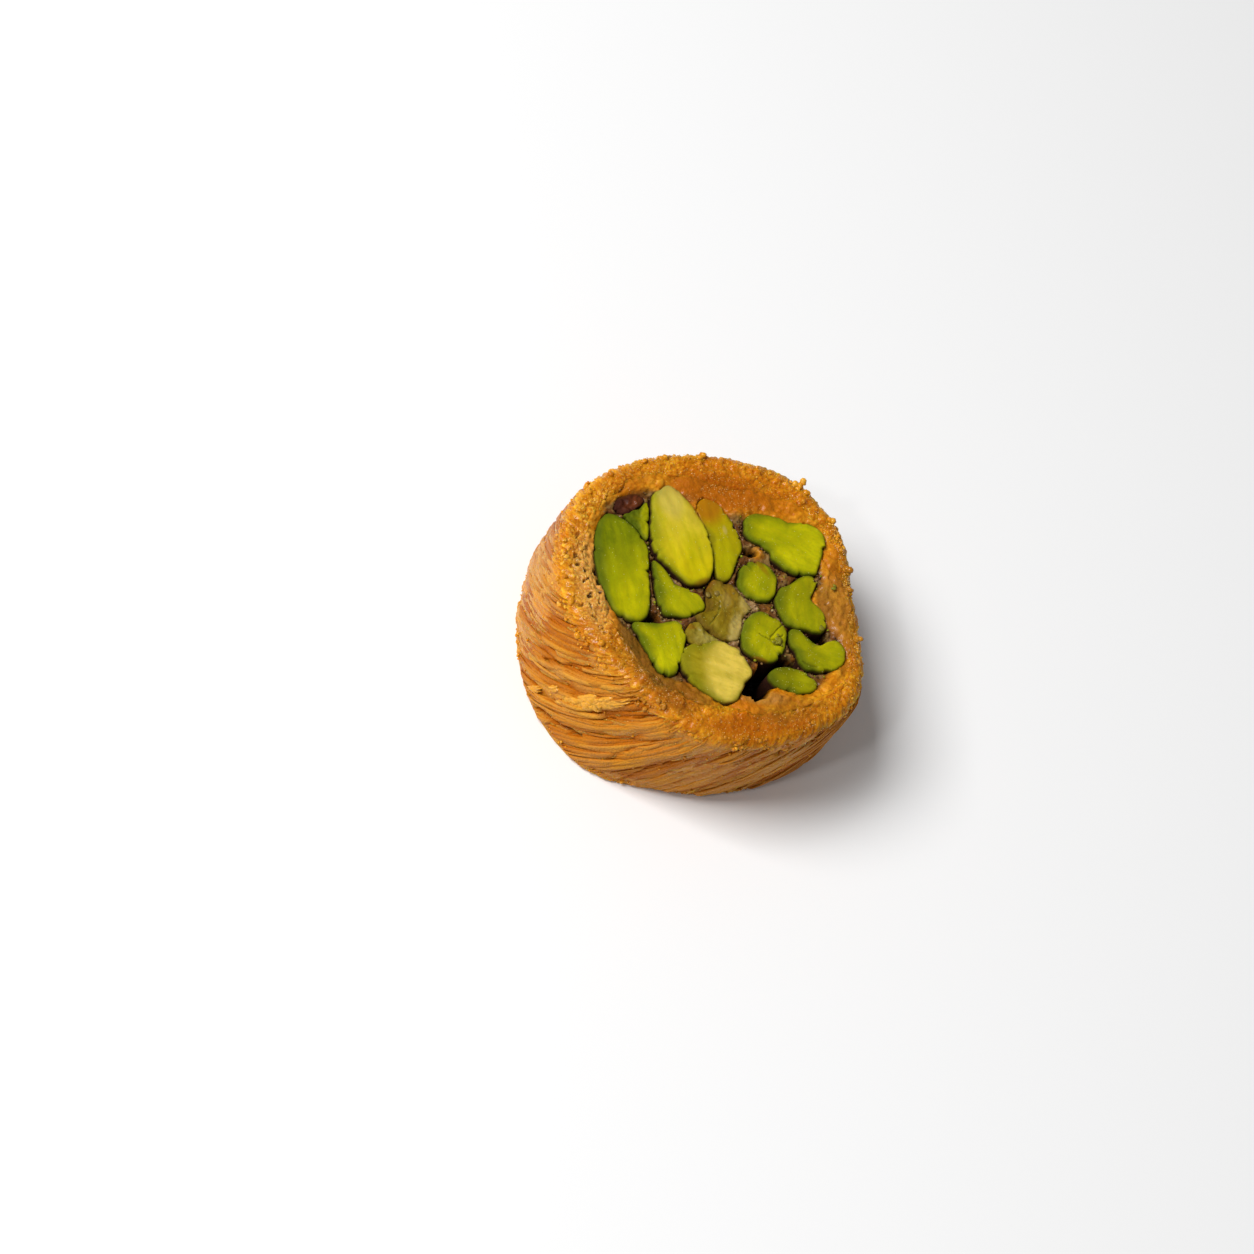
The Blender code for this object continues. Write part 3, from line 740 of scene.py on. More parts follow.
def lay_strands(name, angle, low, high, width, lift, tint, stray):
    """Lay strands that start at given angles and climb from low to high, as one piece."""
    count = len(angle)
    mesh, sides, k = strand_mesh(count)
    z = low[:, None] + (high - low)[:, None] * np.linspace(0, 1, STATIONS)
    line = np.stack(np.broadcast_arrays(z * 0.35, chance.uniform(0, 500, count)[:, None], 0.0), axis=-1)
    path = wall_paths(angle, z, chance.normal(0, 8 * stray, count), stray * soft_noise(line, 1.6))
    start = walk(path, z, SLICE)
    lift = lift[:, None] + bundle_rise(start, z) + wall_marks(path, z)
    lift = lift - 0.3 * bundle_groove(start, z) - 0.16 * plaster(path, z) - 0.4 * crumb_edge(path, z)
    lift = lift + 0.5 * stray * soft_noise(line, 2.5, 90.0)
    ends = np.sin(math.pi * np.linspace(0, 1, STATIONS)) ** 0.4
    lift = lift - 0.35 * (1 - ends)
    centre = polar(path, wall_radius(path, z) + lift, z)
    outward = polar(path, 1.0, 0.0) - polar(path, 0.0, 0.0)
    wide = width[:, None] * (0.45 + 0.55 * ends) * (1 + 0.3 * soft_noise(line, 0.8, 40.0))
    points = bend_strands(sides, k, centre, outward, wide, wide * FLATNESS)
    # Painted shade: strands that lie sunk, and each strand's flanks and underside, get darker colour.
    masks = {
        "tint": np.repeat(tint[:, None], len(k), axis=1),
        "sunk": smoothstep(0.05, -0.35, lift)[:, k],
        "edge": 0.65 * np.repeat(smoothstep(0.75, 0.1, sides[None, :, 1]), count, axis=0),
    }
    finish_piece(name, mesh, points.reshape(-1, 3), STRANDS, "pastry", masks)


def wind_strands(name, count, length, width, proud, stray):
    """Strands by chance all over the wall."""
    angle = chance.uniform(0, math.tau, count)
    rise = np.sin(np.radians(around(LEAN, angle))) * chance.uniform(*length, count)
    middle = chance.uniform(-0.5, SLICE + 0.5, count)
    low = np.clip(middle - rise / 2, 0.25, SLICE - 1.5)
    high = np.clip(middle + rise / 2, low + 1.2, SLICE - 0.35)
    tint = chance.normal(0.5, 0.17, count)
    lift = chance.uniform(*proud, count)
    wide = chance.uniform(*width, count)
    lay_strands(name, walk(angle, middle, low), low, high, wide, lift, tint, stray)


# Strands by chance: name, how many, length, width, how proud, how far they stray from the winding
WINDINGS = (
    ("wound_strands", 800, (14, 30), (0.55, 1.05), (-0.2, 0.04), 0.16),
    ("fine_strands", 420, (5, 16), (0.26, 0.5), (-0.1, 0.1), 0.35),
    ("stray_strands", 50, (3, 9), (0.26, 0.4), (-0.05, 0.14), 1.0),
)
for winding in WINDINGS:
    wind_strands(*winding)

# Strands that stand out in the photograph: angle, low and high end, width, how proud, tint
SEEN_STRANDS = np.array((
    (230.5, 4.8, 10.2, 0.62, 0.30, 1.0), (226, 2.5, 8.5, 0.6, 0.16, 0.9), (251, 5.8, 12.5, 0.9, 0.25, 0.95),
    (254, 7.0, 14.6, 0.8, 0.3, 1.0), (249, 6.4, 10.4, 0.7, 0.4, 0.9), (240, 2.0, 9.0, 0.8, 0.12, 0.8),
    (262, 3.0, 12.0, 0.7, 0.14, 0.85), (272, 1.5, 9.5, 0.8, 0.12, 0.75), (247, 0.6, 4.2, 0.9, 0.3, 0.7),
    (236, 9.5, 15.5, 0.7, 0.18, 0.85),
)).T
seen = [np.radians(SEEN_STRANDS[0]), *SEEN_STRANDS[1:]]
lay_strands("seen_strands", *seen, stray=0.15)

# %% [markdown]
# ## Grains of crumb
# The knife left the cut strands as a sugary crumb. A few thousand small balls are scattered over the
# cut crust and over its rim, half sunk in the relief. Each is turned its own way and pushed out of
# round, so that no two look alike.

# %% Grain finish
def grain_finish():
    """Golden to pale grains, amber where syrup has soaked in, beige where the crumb stayed dry."""
    f = Finish("crust_grains", roughness=0.4, coat=0.4, flesh=0.3, shine=0.1, depth=0.12)
    tint = f.mask("tint")
    low = f.mix(f.spread(tint, 0.0, 0.5), "C87A04", "DC920E")
    gold = f.mix(f.spread(tint, 0.5, 1.0), low, "ECAE34")
    f.feed("Base Color", f.layers(gold, amber="BC6C04", beige="CC9440", damp="80581A"))
    f.bump(f.cloud(0.15), 0.08, 0.6)
    return f.material


GRAINS = grain_finish()
print("finish:", GRAINS.name)

# %% Scattering grains
def random_turns(count):
    """Random rotation matrices, even over all directions."""
    q = chance.normal(size=(count, 4))
    w, x, y, z = (q / np.linalg.norm(q, axis=1, keepdims=True)).T
    rows = (
        (1 - 2 * (y * y + z * z), 2 * (x * y - z * w), 2 * (x * z + y * w)),
        (2 * (x * y + z * w), 1 - 2 * (x * x + z * z), 2 * (y * z - x * w)),
        (2 * (x * z - y * w), 2 * (y * z + x * w), 1 - 2 * (x * x + y * y)),
    )
    return np.array(rows).transpose(2, 0, 1)


def grain_template():
    """One small ball of thirty-five faces."""
    bm = bmesh.new()
    bmesh.ops.create_uvsphere(bm, u_segments=7, v_segments=5, radius=0.5)
    return mesh_from(bm, "grain")


def scatter_grains(name, places, sizes, material, slot, masks, flatten=0.75):
    """Put a grain at each place and make them one piece."""
    ball = grain_template()
    count = len(places)
    raw = points_of(ball)
    shape = np.stack((np.ones(count), chance.uniform(0.7, 1.2, count), chance.uniform(0.5, 1.0, count)), 1)
    local = raw[None] * chance.uniform(0.9, 1.1, (count, len(raw), 1)) * shape[:, None]
    local = np.einsum("nij,nkj->nki", random_turns(count), local) * np.asarray(sizes)[:, None, None]
    local[:, :, 2] *= flatten
    spread = {key: np.repeat(value[:, None], len(raw), axis=1) for key, value in masks.items()}
    points = (np.asarray(places)[:, None] + local).reshape(-1, 3)
    finish_piece(name, array_of(ball, count), points, material, slot, spread)


print("a grain's faces:", len(grain_template().polygons))

# %% [markdown]
# Grains lie thickest along the rim, and a few are heaped up in clumps that break the outline of the
# slice. Most of the wall stays free of them.

# %% Grains on the crust and the wall
def crust_places(count):
    """Places on the shown crust, thickest along the rim."""
    angle = chance.uniform(0, math.tau, count)
    across = 1 - chance.uniform(0, 1.02, count) ** 1.25
    across = np.clip(across, -0.05, 0.985)
    inner = around(HOLE, angle)
    radius = inner + (wall_radius(angle, SLICE - 0.3) - inner) * across
    places = polar(angle, radius, SLICE)
    places[:, 2] += face_relief(places, across)[0]
    places[:, 2] -= quarter(RIM_ROUND, (radius - wall_radius(angle, SLICE)) / RIM_ROUND)
    return places


def rim_places(count, low, high, proud):
    """Places on the rounded rim and just below it."""
    angle = chance.uniform(0, math.tau, count)
    z = high - (high - low) * chance.uniform(0, 1, count) ** 1.6
    return polar(angle, wall_radius(angle, z) + chance.uniform(*proud, count), z)


def zone_masks(places):
    """The zones of the crust at some places, and a tint for each grain."""
    return {"tint": np.clip(chance.normal(0.5, 0.25, len(places)), 0, 1), **zones(places)}


def grain_sizes(count, usual, smallest, largest):
    """Sizes of broken crumb: most are near the usual one, a few are much larger."""
    return np.clip(chance.lognormal(math.log(usual), 0.4, count), smallest, largest)


def clump_places(clumps):
    """Places of grains heaped up on the rim: each clump has an angle in degrees and a height."""
    heaps = []
    for turn, height in clumps:
        angle = math.radians(turn)
        count = int(9 * height) + 3
        up = height * np.linspace(0, 1, count)
        spread = 0.35 * (1 - 0.8 * up / height)
        root = polar(angle, wall_radius(angle, SLICE - 0.4) - 0.45, SLICE - 0.4)
        lean = np.array((0.6 * math.cos(angle), 0.6 * math.sin(angle), 0.8))
        heaps.append(root + up[:, None] * lean + chance.normal(0, 1, (count, 3)) * spread[:, None] * 0.6)
    return np.concatenate(heaps)


CLUMPS = [(88.7, 1.3), (50.4, 0.9), (128.0, 0.6), (20.0, 0.7)]
CLUMPS += [(turn, 0.3) for turn in chance.uniform(0, 360, 16)]
crust = crust_places(1400)
kept = chance.uniform(0, 1, len(crust)) > 0.9 * spots(crust, AMBER) + 0.5 * spots(crust, BEIGE)
crust = np.concatenate((crust[kept], rim_places(700, SLICE - 2.2, SLICE - 0.1, (-0.4, -0.16))))
crust_sizes = grain_sizes(len(crust), 0.5, 0.25, 1.1)
crust[:, 2] -= 0.4 * crust_sizes
heaps = clump_places(CLUMPS)
crust = np.concatenate((crust, heaps))
crust_sizes = np.concatenate((crust_sizes, grain_sizes(len(heaps), 0.7, 0.5, 1.0)))
scatter_grains("crust_grains", crust, crust_sizes, GRAINS, "pastry", zone_masks(crust))
wall_bits = np.concatenate((rim_places(350, 0.4, SLICE - 1.0, (-0.12, 0.04)),
                            rim_places(260, 0.15, 1.3, (-0.28, -0.06))))
wall_sizes = grain_sizes(len(wall_bits), 0.28, 0.15, 0.55)
wall_bits[:, 2] = np.maximum(wall_bits[:, 2], wall_sizes * 0.6)
scatter_grains("wall_grains", wall_bits, wall_sizes, GRAINS, "pastry", zone_masks(wall_bits))

# %% [markdown]
# A few crumbly flakes stick to the wall, the largest on the side that faces the camera. Each is one
# rolled-up disc that is laid along a line on the wall, torn at its edge and lumpy on top.

# %% Flakes on the wall
# Two ends as angle and height, width, thickness
FLAKES = (
    (250.5, 6.6, 265.5, 14.5, 2.0, 0.55), (244.5, 6.2, 247.0, 7.6, 0.8, 0.4),
    (238.0, 1.6, 243.0, 4.6, 0.9, 0.35), (95.0, 9.0, 103.0, 14.0, 1.4, 0.5),
    (12.0, 4.0, 19.0, 8.5, 1.1, 0.4), (160.0, 3.0, 166.0, 7.5, 1.2, 0.4),
)
FLAKE_COLUMNS = 120


def press_flake(mesh, turn_a, z_a, turn_b, z_b, width, thick, seed):
    """Lay a disc along a line on the wall, with a torn edge and lumps; returns its points."""
    raw = points_of(mesh)
    share = np.hypot(raw[:, 0], raw[:, 1])
    run = wall_run(turn_a, z_a, turn_b, z_b)
    length = math.hypot(*run)
    edge = raw[:, :2] / np.maximum(share, 1e-6)[:, None] * (1.0, 0.35)
    edge = np.column_stack((edge, np.full(len(raw), seed)))
    torn = 1 + 0.55 * soft_noise(edge, 0.3) + 0.3 * soft_noise(edge, 0.09)
    along, across = raw[:, 0] * length / 2 * torn, raw[:, 1] * width / 2 * torn
    flat = np.column_stack((along, across)) @ np.array((run, (-run[1], run[0]))) / length
    angle = math.radians((turn_a + turn_b) / 2) + flat[:, 0] / USUAL
    z = np.clip((z_a + z_b) / 2 + flat[:, 1], 0.4, SLICE - 0.6)
    lumps = domes(np.column_stack((flat, np.full(len(raw), seed))), 1.0, 3.0)
    proud = thick * np.sqrt(np.clip(1 - share ** 4, 0, 1)) * (0.5 + 0.6 * lumps)
    radius = wall_radius(angle, z) + np.where(raw[:, 2] > 0, 0.05 + proud, -0.35)
    return polar(angle, radius, z)


def flake_mesh():
    """A round disc with a top, a thin side and an underside, as one sewn grid."""
    rings = evenly(0.0, 1.0, 22)
    return sewn_grid([(r, 1.0) for r in rings] + [(r, -1.0) for r in reversed(rings[::3])], FLAKE_COLUMNS)


for number, flake in enumerate(FLAKES):
    mesh = flake_mesh()
    look = {"tint": np.full(len(mesh.vertices), 0.75 if number < 2 else 0.6),
            "beige": np.full(len(mesh.vertices), 0.25)}
    points = press_flake(mesh, *flake, 7.0 * number)
    finish_piece("wall_flake_%d" % number, mesh, points, GRAINS, "pastry", look)

# %% [markdown]
# ## Kernels
# Shelled pistachios are pressed together while the roll is wound, so each has its own outline. The
# outlines below have only the points that the shape needs, and a smooth closed curve runs through
# them. One closed pebble form, flat on top with rounded shoulders, is pressed into each outline.

# %% Kernel outlines, in millimetres
# The place in the slice that the outlines' points are counted from
OUTLINE_ORIGIN = np.array((-0.14, -1.415))
OUTLINES = {
    "long_left": (
        (-17.5, 1), (-17.6, -2), (-15.5, -6), (-13, -8.7), (-10, -10.7), (-8, -11), (-6.5, -10.5),
        (-5.5, -9), (-6, -7), (-8, -4), (-9.5, -1.5), (-11.5, 0.8), (-15, 1.6),
    ),
    "pale_big": (
        (-14, 9), (-14.4, 8), (-14, 6.5), (-12.5, 4), (-11, 1.5), (-9, 0), (-6, -0.5), (-4, -0.7),
        (-2.8, 0), (-1.9, 1.5), (-2, 3), (-3.5, 5.5), (-6, 8), (-9, 9.5), (-12, 10.5), (-13.5, 10.3),
    ),
    "olive": (
        (-8.9, 12.4), (-8.8, 10.4), (-6.4, 8.6), (-3.8, 6.3), (-2.2, 4.3), (-1, 3.3), (0.1, 3.8),
        (0.2, 5.2), (-0.3, 7.4), (-0.9, 9.7), (-2.5, 11.3), (-4.6, 12.4), (-7, 13.2),
    ),
    "top_bean": (
        (-2.7, 14), (-2.2, 12.5), (-1, 11.5), (1, 11.7), (2.5, 11.7), (3.5, 11), (5.5, 11), (7, 11.5),
        (8.5, 12.7), (9, 14), (8.2, 17), (7.5, 19), (5.8, 19.8), (4, 19.2), (2.5, 17.8), (0, 16.8),
        (-2, 15.5),
    ),
    "bent_low": (
        (-9.3, -0.7), (-8, -2.5), (-6.5, -4.5), (-5, -6), (-3.5, -6.5), (-1.5, -5), (-0.5, -3.5),
        (-0.2, -2), (-1.5, -1), (-3, -1.3), (-5, -1.8), (-7, -1),
    ),
    "hook_right": (
        (8.7, 12.7), (7.7, 11.5), (7.2, 9.8), (6.5, 8), (6.8, 6), (8, 4.7), (9.5, 4), (11, 4.2), (12, 5),
        (13.5, 5.5), (14.3, 6.7), (14, 8), (12.5, 9), (11.5, 9.2), (10.5, 9.5), (10.2, 10.7), (9.8, 12.3),
    ),
    "hook_low": (
        (10.7, 3.5), (11.3, 2), (12.7, 1), (14.7, 0), (16.5, 0.7), (18, 2), (18.7, 3.5), (18.7, 5),
        (17.8, 6.3), (16.5, 6.8), (15.5, 5.5), (15, 4.3), (14, 4), (12.7, 4), (11.5, 4.2),
    ),
    "wedge": (
        (-6.3, -10.7), (-5.8, -11.5), (-3.5, -12.8), (-1.5, -14), (0, -14.7), (1.3, -14.2), (1.8, -13),
        (1.3, -11), (0.7, -9), (0, -7.5), (-1, -6.7), (-2.3, -6.8), (-3.5, -8.3), (-5, -9.7),
    ),
    "pale_cut": (
        (1, -10), (1.5, -11.3), (3, -12.5), (5, -13), (7, -12.9), (9, -12.5), (10.2, -11), (10, -9.3),
        (9.7, -8), (9.8, -6.5), (9, -5.5), (7, -4.5), (5, -4.7), (3.5, -5.5), (2.5, -7), (1.2, -8.5),
    ),
    "crushed": (
        (-1.4, 2.2), (-1.2, 0.6), (0.1, -2.2), (-0.4, -3.9), (2.9, -4.6), (5.4, -3.4), (5.8, -2), (4.7, 0.4),
        (4.9, 2.6), (3.4, 3), (1.6, 4), (0.2, 3.6),
    ),
    "pale_chip": (
        (0.2, -4.4), (2, -4.9), (3.8, -4.9), (3.6, -5.7), (2.8, -6.9), (1.4, -7.6), (0, -7.2), (-0.3, -5.6),
    ),
    "dark_chip": (
        (-15.6, 2.2), (-13.6, 1.9), (-12, 1.3), (-11.5, 1.6), (-12.4, 3.2), (-13.4, 4.9), (-14.5, 6.2),
        (-14.7, 4.6), (-15.2, 3.3),
    ),
    "skin_end": (
        (-17.2, 2.4), (-15.9, 2.6), (-15.1, 4.2), (-14.9, 6.2), (-16, 6.3), (-17.2, 5.2), (-17.8, 3.8),
    ),
    "small_low": (
        (11.7, -3.7), (12.1, -4.7), (13.8, -4.9), (15.8, -4.2), (17.3, -2.7), (17.8, -1.2), (17.1, -0.5),
        (15.3, -0.5), (13.3, -1.5), (12.1, -2.5),
    ),
}
# x, y about the hub, length, width, angle, taper, bend, squareness
OVALS = {
    "round_mid": (3.4, 4.8, 5.9, 5.3, 105, -0.08, 0, 2.6),
    "cracked": (8.3, -2.1, 7.3, 6.0, 105, -0.05, 0, 2.4),
    "foot_right": (12.7, 3.2, 10.6, 6.2, 68, 0.05, 10, 2.4),
    "foot_far": (6.2, 12.2, 11, 6.4, -22, 0.1, -6, 2.4),
    "foot_far_left": (-3.6, 10.5, 7.2, 5, 20, -0.1, 0, 2.3),
    "foot_left_back": (-12, 5.9, 9.4, 6.2, 50, 0, -8, 2.4),
    "foot_left": (-14.3, -2.7, 7.2, 6, -78, 0.05, 0, 2.5),
    "foot_left_front": (-8, -10.2, 11, 5.6, -34, 0, 10, 2.4),
    "foot_front": (2.2, -12.6, 9.4, 6.2, 4, 0.15, 12, 2.3),
    "foot_right_front": (11.1, -8.1, 9.4, 6, 50, 0, 12, 2.4),
    "foot_mid_back": (4.9, 3.9, 8.2, 5.6, 70, 0, 0, 2.5),
    "foot_mid_left": (-3.2, 3, 8.2, 5.4, -48, 0.1, 0, 2.4),
    "foot_mid_front": (-5.2, -4.2, 9.4, 4.8, -26, 0, -14, 2.4),
    "foot_mid_right": (4.5, -4.8, 7.8, 5.8, -30, 0.05, 0, 2.5),
}
AROUND_KERNEL = 160


def smooth_loop(points, count):
    """Evenly spaced points on a closed smooth curve through the given ones, running left about."""
    ring = np.array(points, dtype=float)
    area = np.sum(ring[:, 0] * np.roll(ring[:, 1], -1) - np.roll(ring[:, 0], -1) * ring[:, 1])
    if area < 0:
        ring = ring[::-1]
    turn = np.linspace(0, math.tau, 16 * len(ring), endpoint=False)
    dense = np.stack((around(ring[:, 0], turn), around(ring[:, 1], turn)), axis=1)
    closed = np.vstack((dense, dense[:1]))
    run = np.concatenate(([0], np.cumsum(np.linalg.norm(np.diff(closed, axis=0), axis=1))))
    even = np.linspace(0, run[-1], count, endpoint=False)
    return np.stack([np.interp(even, run, closed[:, k]) for k in (0, 1)], axis=1)


def oval(x, y, length, width, angle, taper, bend, square):
    """The outline of a kernel that is near to a plain oval: softened corners, tapered and bent."""
    turn = np.linspace(0, math.tau, AROUND_KERNEL, endpoint=False)
    u, v = (np.sign(w) * np.abs(w) ** (2 / square) for w in (np.cos(turn), np.sin(turn)))
    across = v * (1 + taper * u) * width / 2
    along = u * length / 2
    if bend:
        arc = length / math.radians(bend)
        middle = (arc - arc * math.cos(math.radians(bend) / 2)) / 2
        radius, turned = arc - across, along / arc
        along, across = radius * np.sin(turned), arc - radius * np.cos(turned) - middle
    c, s = math.cos(math.radians(angle)), math.sin(math.radians(angle))
    return np.stack((HUB[0] + x + along * c - across * s, HUB[1] + y + along * s + across * c), axis=1)


loops = {name: smooth_loop(points, AROUND_KERNEL) + OUTLINE_ORIGIN for name, points in OUTLINES.items()}
loops.update({name: oval(*spec) for name, spec in OVALS.items()})
print("kernels:", len(loops))

# %% [markdown]
# A kernel's flesh is greenest under its skin and turns yellow towards the middle, with fine streaks
# along its length. So every point of a kernel knows how near it is to the rim, how far it lies
# along and across the kernel, and where it is on a slow turn from one colour to another. Brown
# stains, milky bruises and syrup lie on a few kernels only.

# %% Kernel finishes
def flesh_finish(name, rim, first, second, streak, flesh=0.3):
    """Moist kernel flesh: green rim, two colours in the middle, streaks and flecks along its length."""
    f = Finish(name, flesh=flesh, shine=0.12)
    stretch = (("along", 6.0), ("across", 26.0), ("seed", 40.0))
    parts = {k: f.times(f.mask(key), scale) for k, (key, scale) in enumerate(stretch)}
    place = add_node(f.tree, "CombineXYZ", parts).outputs[0]
    inputs = {"Vector": place, "Scale": 1.0, "Detail": 5.0, "Roughness": 0.66}
    stripes = f.spread(add_node(f.tree, "TexNoise", inputs).outputs["Fac"], 0.42, 0.66)
    colour = f.mix(f.mask("turn"), first, second)
    colour = f.mix(f.times(f.cloud(3.0, 0.4, 0.7, 1.0), 0.25), colour, rim)
    colour = f.mix(f.times(stripes, 0.6), colour, streak)
    colour = f.mix(f.times(f.cloud(0.5, 0.52, 0.72), 0.35), colour, streak)
    colour = f.layers(colour, rim=rim, shade="3E4200", stain="8A5606", syrup="A86A04", milk="BEA860")
    # Painted shade: the flesh is darker down its cracks.
    colour = f.mix(f.times(f.mask("crack"), 0.5), colour, "4A4A04")
    f.feed("Base Color", f.layers(colour, skin="2E160C"))
    f.feed("Roughness", f.spread(f.mask("rim"), 0.1, 0.8, 0.32, 0.8))
    f.feed("Coat Weight", f.spread(f.mask("rim"), 0.0, 0.3, 0.1, 0.0))
    f.bump(f.cloud(1.0, 0.3, 0.7, 1.5), 0.04, 0.6)
    return f.material


FLESH = {
    "deep": flesh_finish("kernel_deep_green", "485600", "6F7800", "BCB400", "909400"),
    "pale": flesh_finish("kernel_pale", "7A7C00", "D2BB34", "D0BC04", "B2AA00"),
    "olive": flesh_finish("kernel_olive", "766C00", "B49A00", "B2AA00", "988E00"),
    "green": flesh_finish("kernel_green", "506000", "B4AC00", "C8C004", "909600"),
    "cut": flesh_finish("kernel_cut", "7A7600", "8A7A02", "E8CA54", "B4A024"),
    "crushed": flesh_finish("kernel_crushed", "5E4606", "7C6602", "8E6C14", "948222", 0.5),
    "skin": flesh_finish("kernel_skin", "34140A", "50220E", "6A3416", "2A1006", 0.1),
    "cream": flesh_finish("kernel_cream", "7E6A0C", "92802A", "A89848", "7C7014", 0.5),
}
print("kernel finishes:", len(FLESH))

# %% Looks of single kernels
CAD_SLOTS = {
    "deep": "deep_green", "pale": "pale", "cut": "pale", "cream": "pale", "olive": "olive",
    "crushed": "olive", "skin": "skin", "green": "green",
}
# level: top over the cut; turn: angle that the colour changes along; at: where it does, -1 to 1;
# shade: darker flesh; rough: crushed relief in millimetres; centre: where the rays to the outline start
Look = namedtuple("Look", "flesh level turn at shade rough centre", defaults=(0.0, 0, 0.0, 0.0, 0.0, None))
LOOKS = {
    "long_left": Look("deep", 0.05, -10),
    "pale_big": Look("pale", 0.45, -40),
    "olive": Look("olive", -0.2, -50),
    "top_bean": Look("green", 0.15, -20),
    "round_mid": Look("green", -0.1, -90, shade=0.18),
    "bent_low": Look("green", -0.05, -30, shade=0.2, centre=(-4.6, -3.2)),
    "hook_right": Look("green", 0.1, -60, shade=0.28, centre=(9.0, 6.9)),
    "hook_low": Look("green", 0.0, 20, shade=0.26, centre=(14.6, 2.2)),
    "cracked": Look("green", 0.1, -45, shade=0.18),
    "wedge": Look("green", 0.1, -30, shade=0.08),
    "pale_cut": Look("cut", 0.3, 28, at=-0.22, shade=0.03),
    "small_low": Look("green", -0.35, -20, shade=0.45),
    "crushed": Look("crushed", -0.25, 60, rough=0.26),
    "pale_chip": Look("cream", -0.35, 0, rough=0.3),
    "dark_chip": Look("deep", -0.25, 40, shade=0.15, rough=0.2),
    "skin_end": Look("skin", -0.5, 0, rough=0.4),
    "foot_far": Look("pale"),
    "foot_mid_left": Look("pale"),
    "foot_left_front": Look("deep"),
}
# Soft spots on kernels: x, y, length, width, angle, strength
STAINS = ((-2.2, -0.6, 3.4, 1.2, 60, 0.6), (2.2, 7.6, 4.0, 0.9, -20, 0.5), (9.6, -4.9, 2.5, 0.7, 20, 0.7),
          (-0.3, -7.2, 1.6, 0.8, 30, 0.5))
MILK = ((-4.2, 8.7, 1.4, 0.6, -50, 0.5), (4.4, -2.8, 4.2, 1.7, -75, 0.6), (3.9, 0.8, 3.0, 1.8, -50, 0.45),
        (1.4, -0.4, 2.4, 1.2, -60, 0.2), (5.0, -4.6, 1.6, 1.0, 20, 0.6), (-12.4, 7.0, 6.0, 3.6, -45, 0.35))
# Kernel tops that the amber syrup hides
DROWNED = ((-8.4, 10.6, 6.4, 5.2, -60, 0.9),)
# Cracks as runs of points in the cut face
CRACKS = (
    ((7.4, -1.8), (8.1, -1.7), (8.9, -1.6), (9.6, -0.9), (10.1, 0.4)),
    ((8.9, -1.6), (9.0, 0.4), (9.2, 1.8)),
    ((8.9, -1.6), (10.0, -1.6), (10.8, -1.0)),
    ((14.2, -1.0), (15.2, -0.8), (16.2, -0.2)),
    ((0.8, -1.2), (1.6, -2.8), (1.5, -5.0)),
)
SMALL = ("skin_end", "dark_chip", "pale_chip")
# How deep kernels reach into the slice from either face
TOP_DEPTH = 7.8
FOOT_DEPTH = 7.2
SMALL_DEPTH = 3.4
# How square their shoulders are, and how far they swell past their outlines
EDGE = 18.0
SWELL = 0.1
print("looks:", len(LOOKS))

# %% [markdown]
# A kernel is pressed like the ring: a plain pebble takes its outline, swells in the middle and
# cracks where the photograph shows it. Ragged edges and small ripples keep it from looking moulded.

# %% Pressing kernels
# Towards the left of the photograph the green rim of a kernel is widest: painted shade on that side.
SHADED_SIDE = np.array((-0.86, -0.51))


def cracks(points):
    """How deep in a crack each point is: 1 in its middle, 0 away from it."""
    nearest = np.full(len(points), 9.0)
    flat = points[:, :2] + 0.12 * soft_noise(points, 0.5, 25.0)[:, None]
    for run in CRACKS:
        for a, b in zip(np.array(run[:-1]), np.array(run[1:])):
            u = np.clip((flat - a) @ (b - a) / ((b - a) @ (b - a)), 0, 1)
            nearest = np.minimum(nearest, np.linalg.norm(flat - a - u[:, None] * (b - a), axis=1))
    return 1 - smoothstep(0.03, 0.14, nearest)


def pebble_profile():
    """Half the section of a pressed kernel: flat ends, rings crowded at their edges, tight shoulders."""
    reach = [1 - (1 - u) ** 1.7 for u in evenly(0.0, 0.94, 25)]
    lid = [(r, (1 - r ** EDGE) ** (1 / EDGE)) for r in reach]
    side = [((1 - abs(z) ** EDGE) ** (1 / EDGE), z) for z in evenly(lid[-1][1], -lid[-1][1], 15)[1:-1]]
    floor = [(r, -z) for r, z in lid[::-3]]
    return lid + side + floor


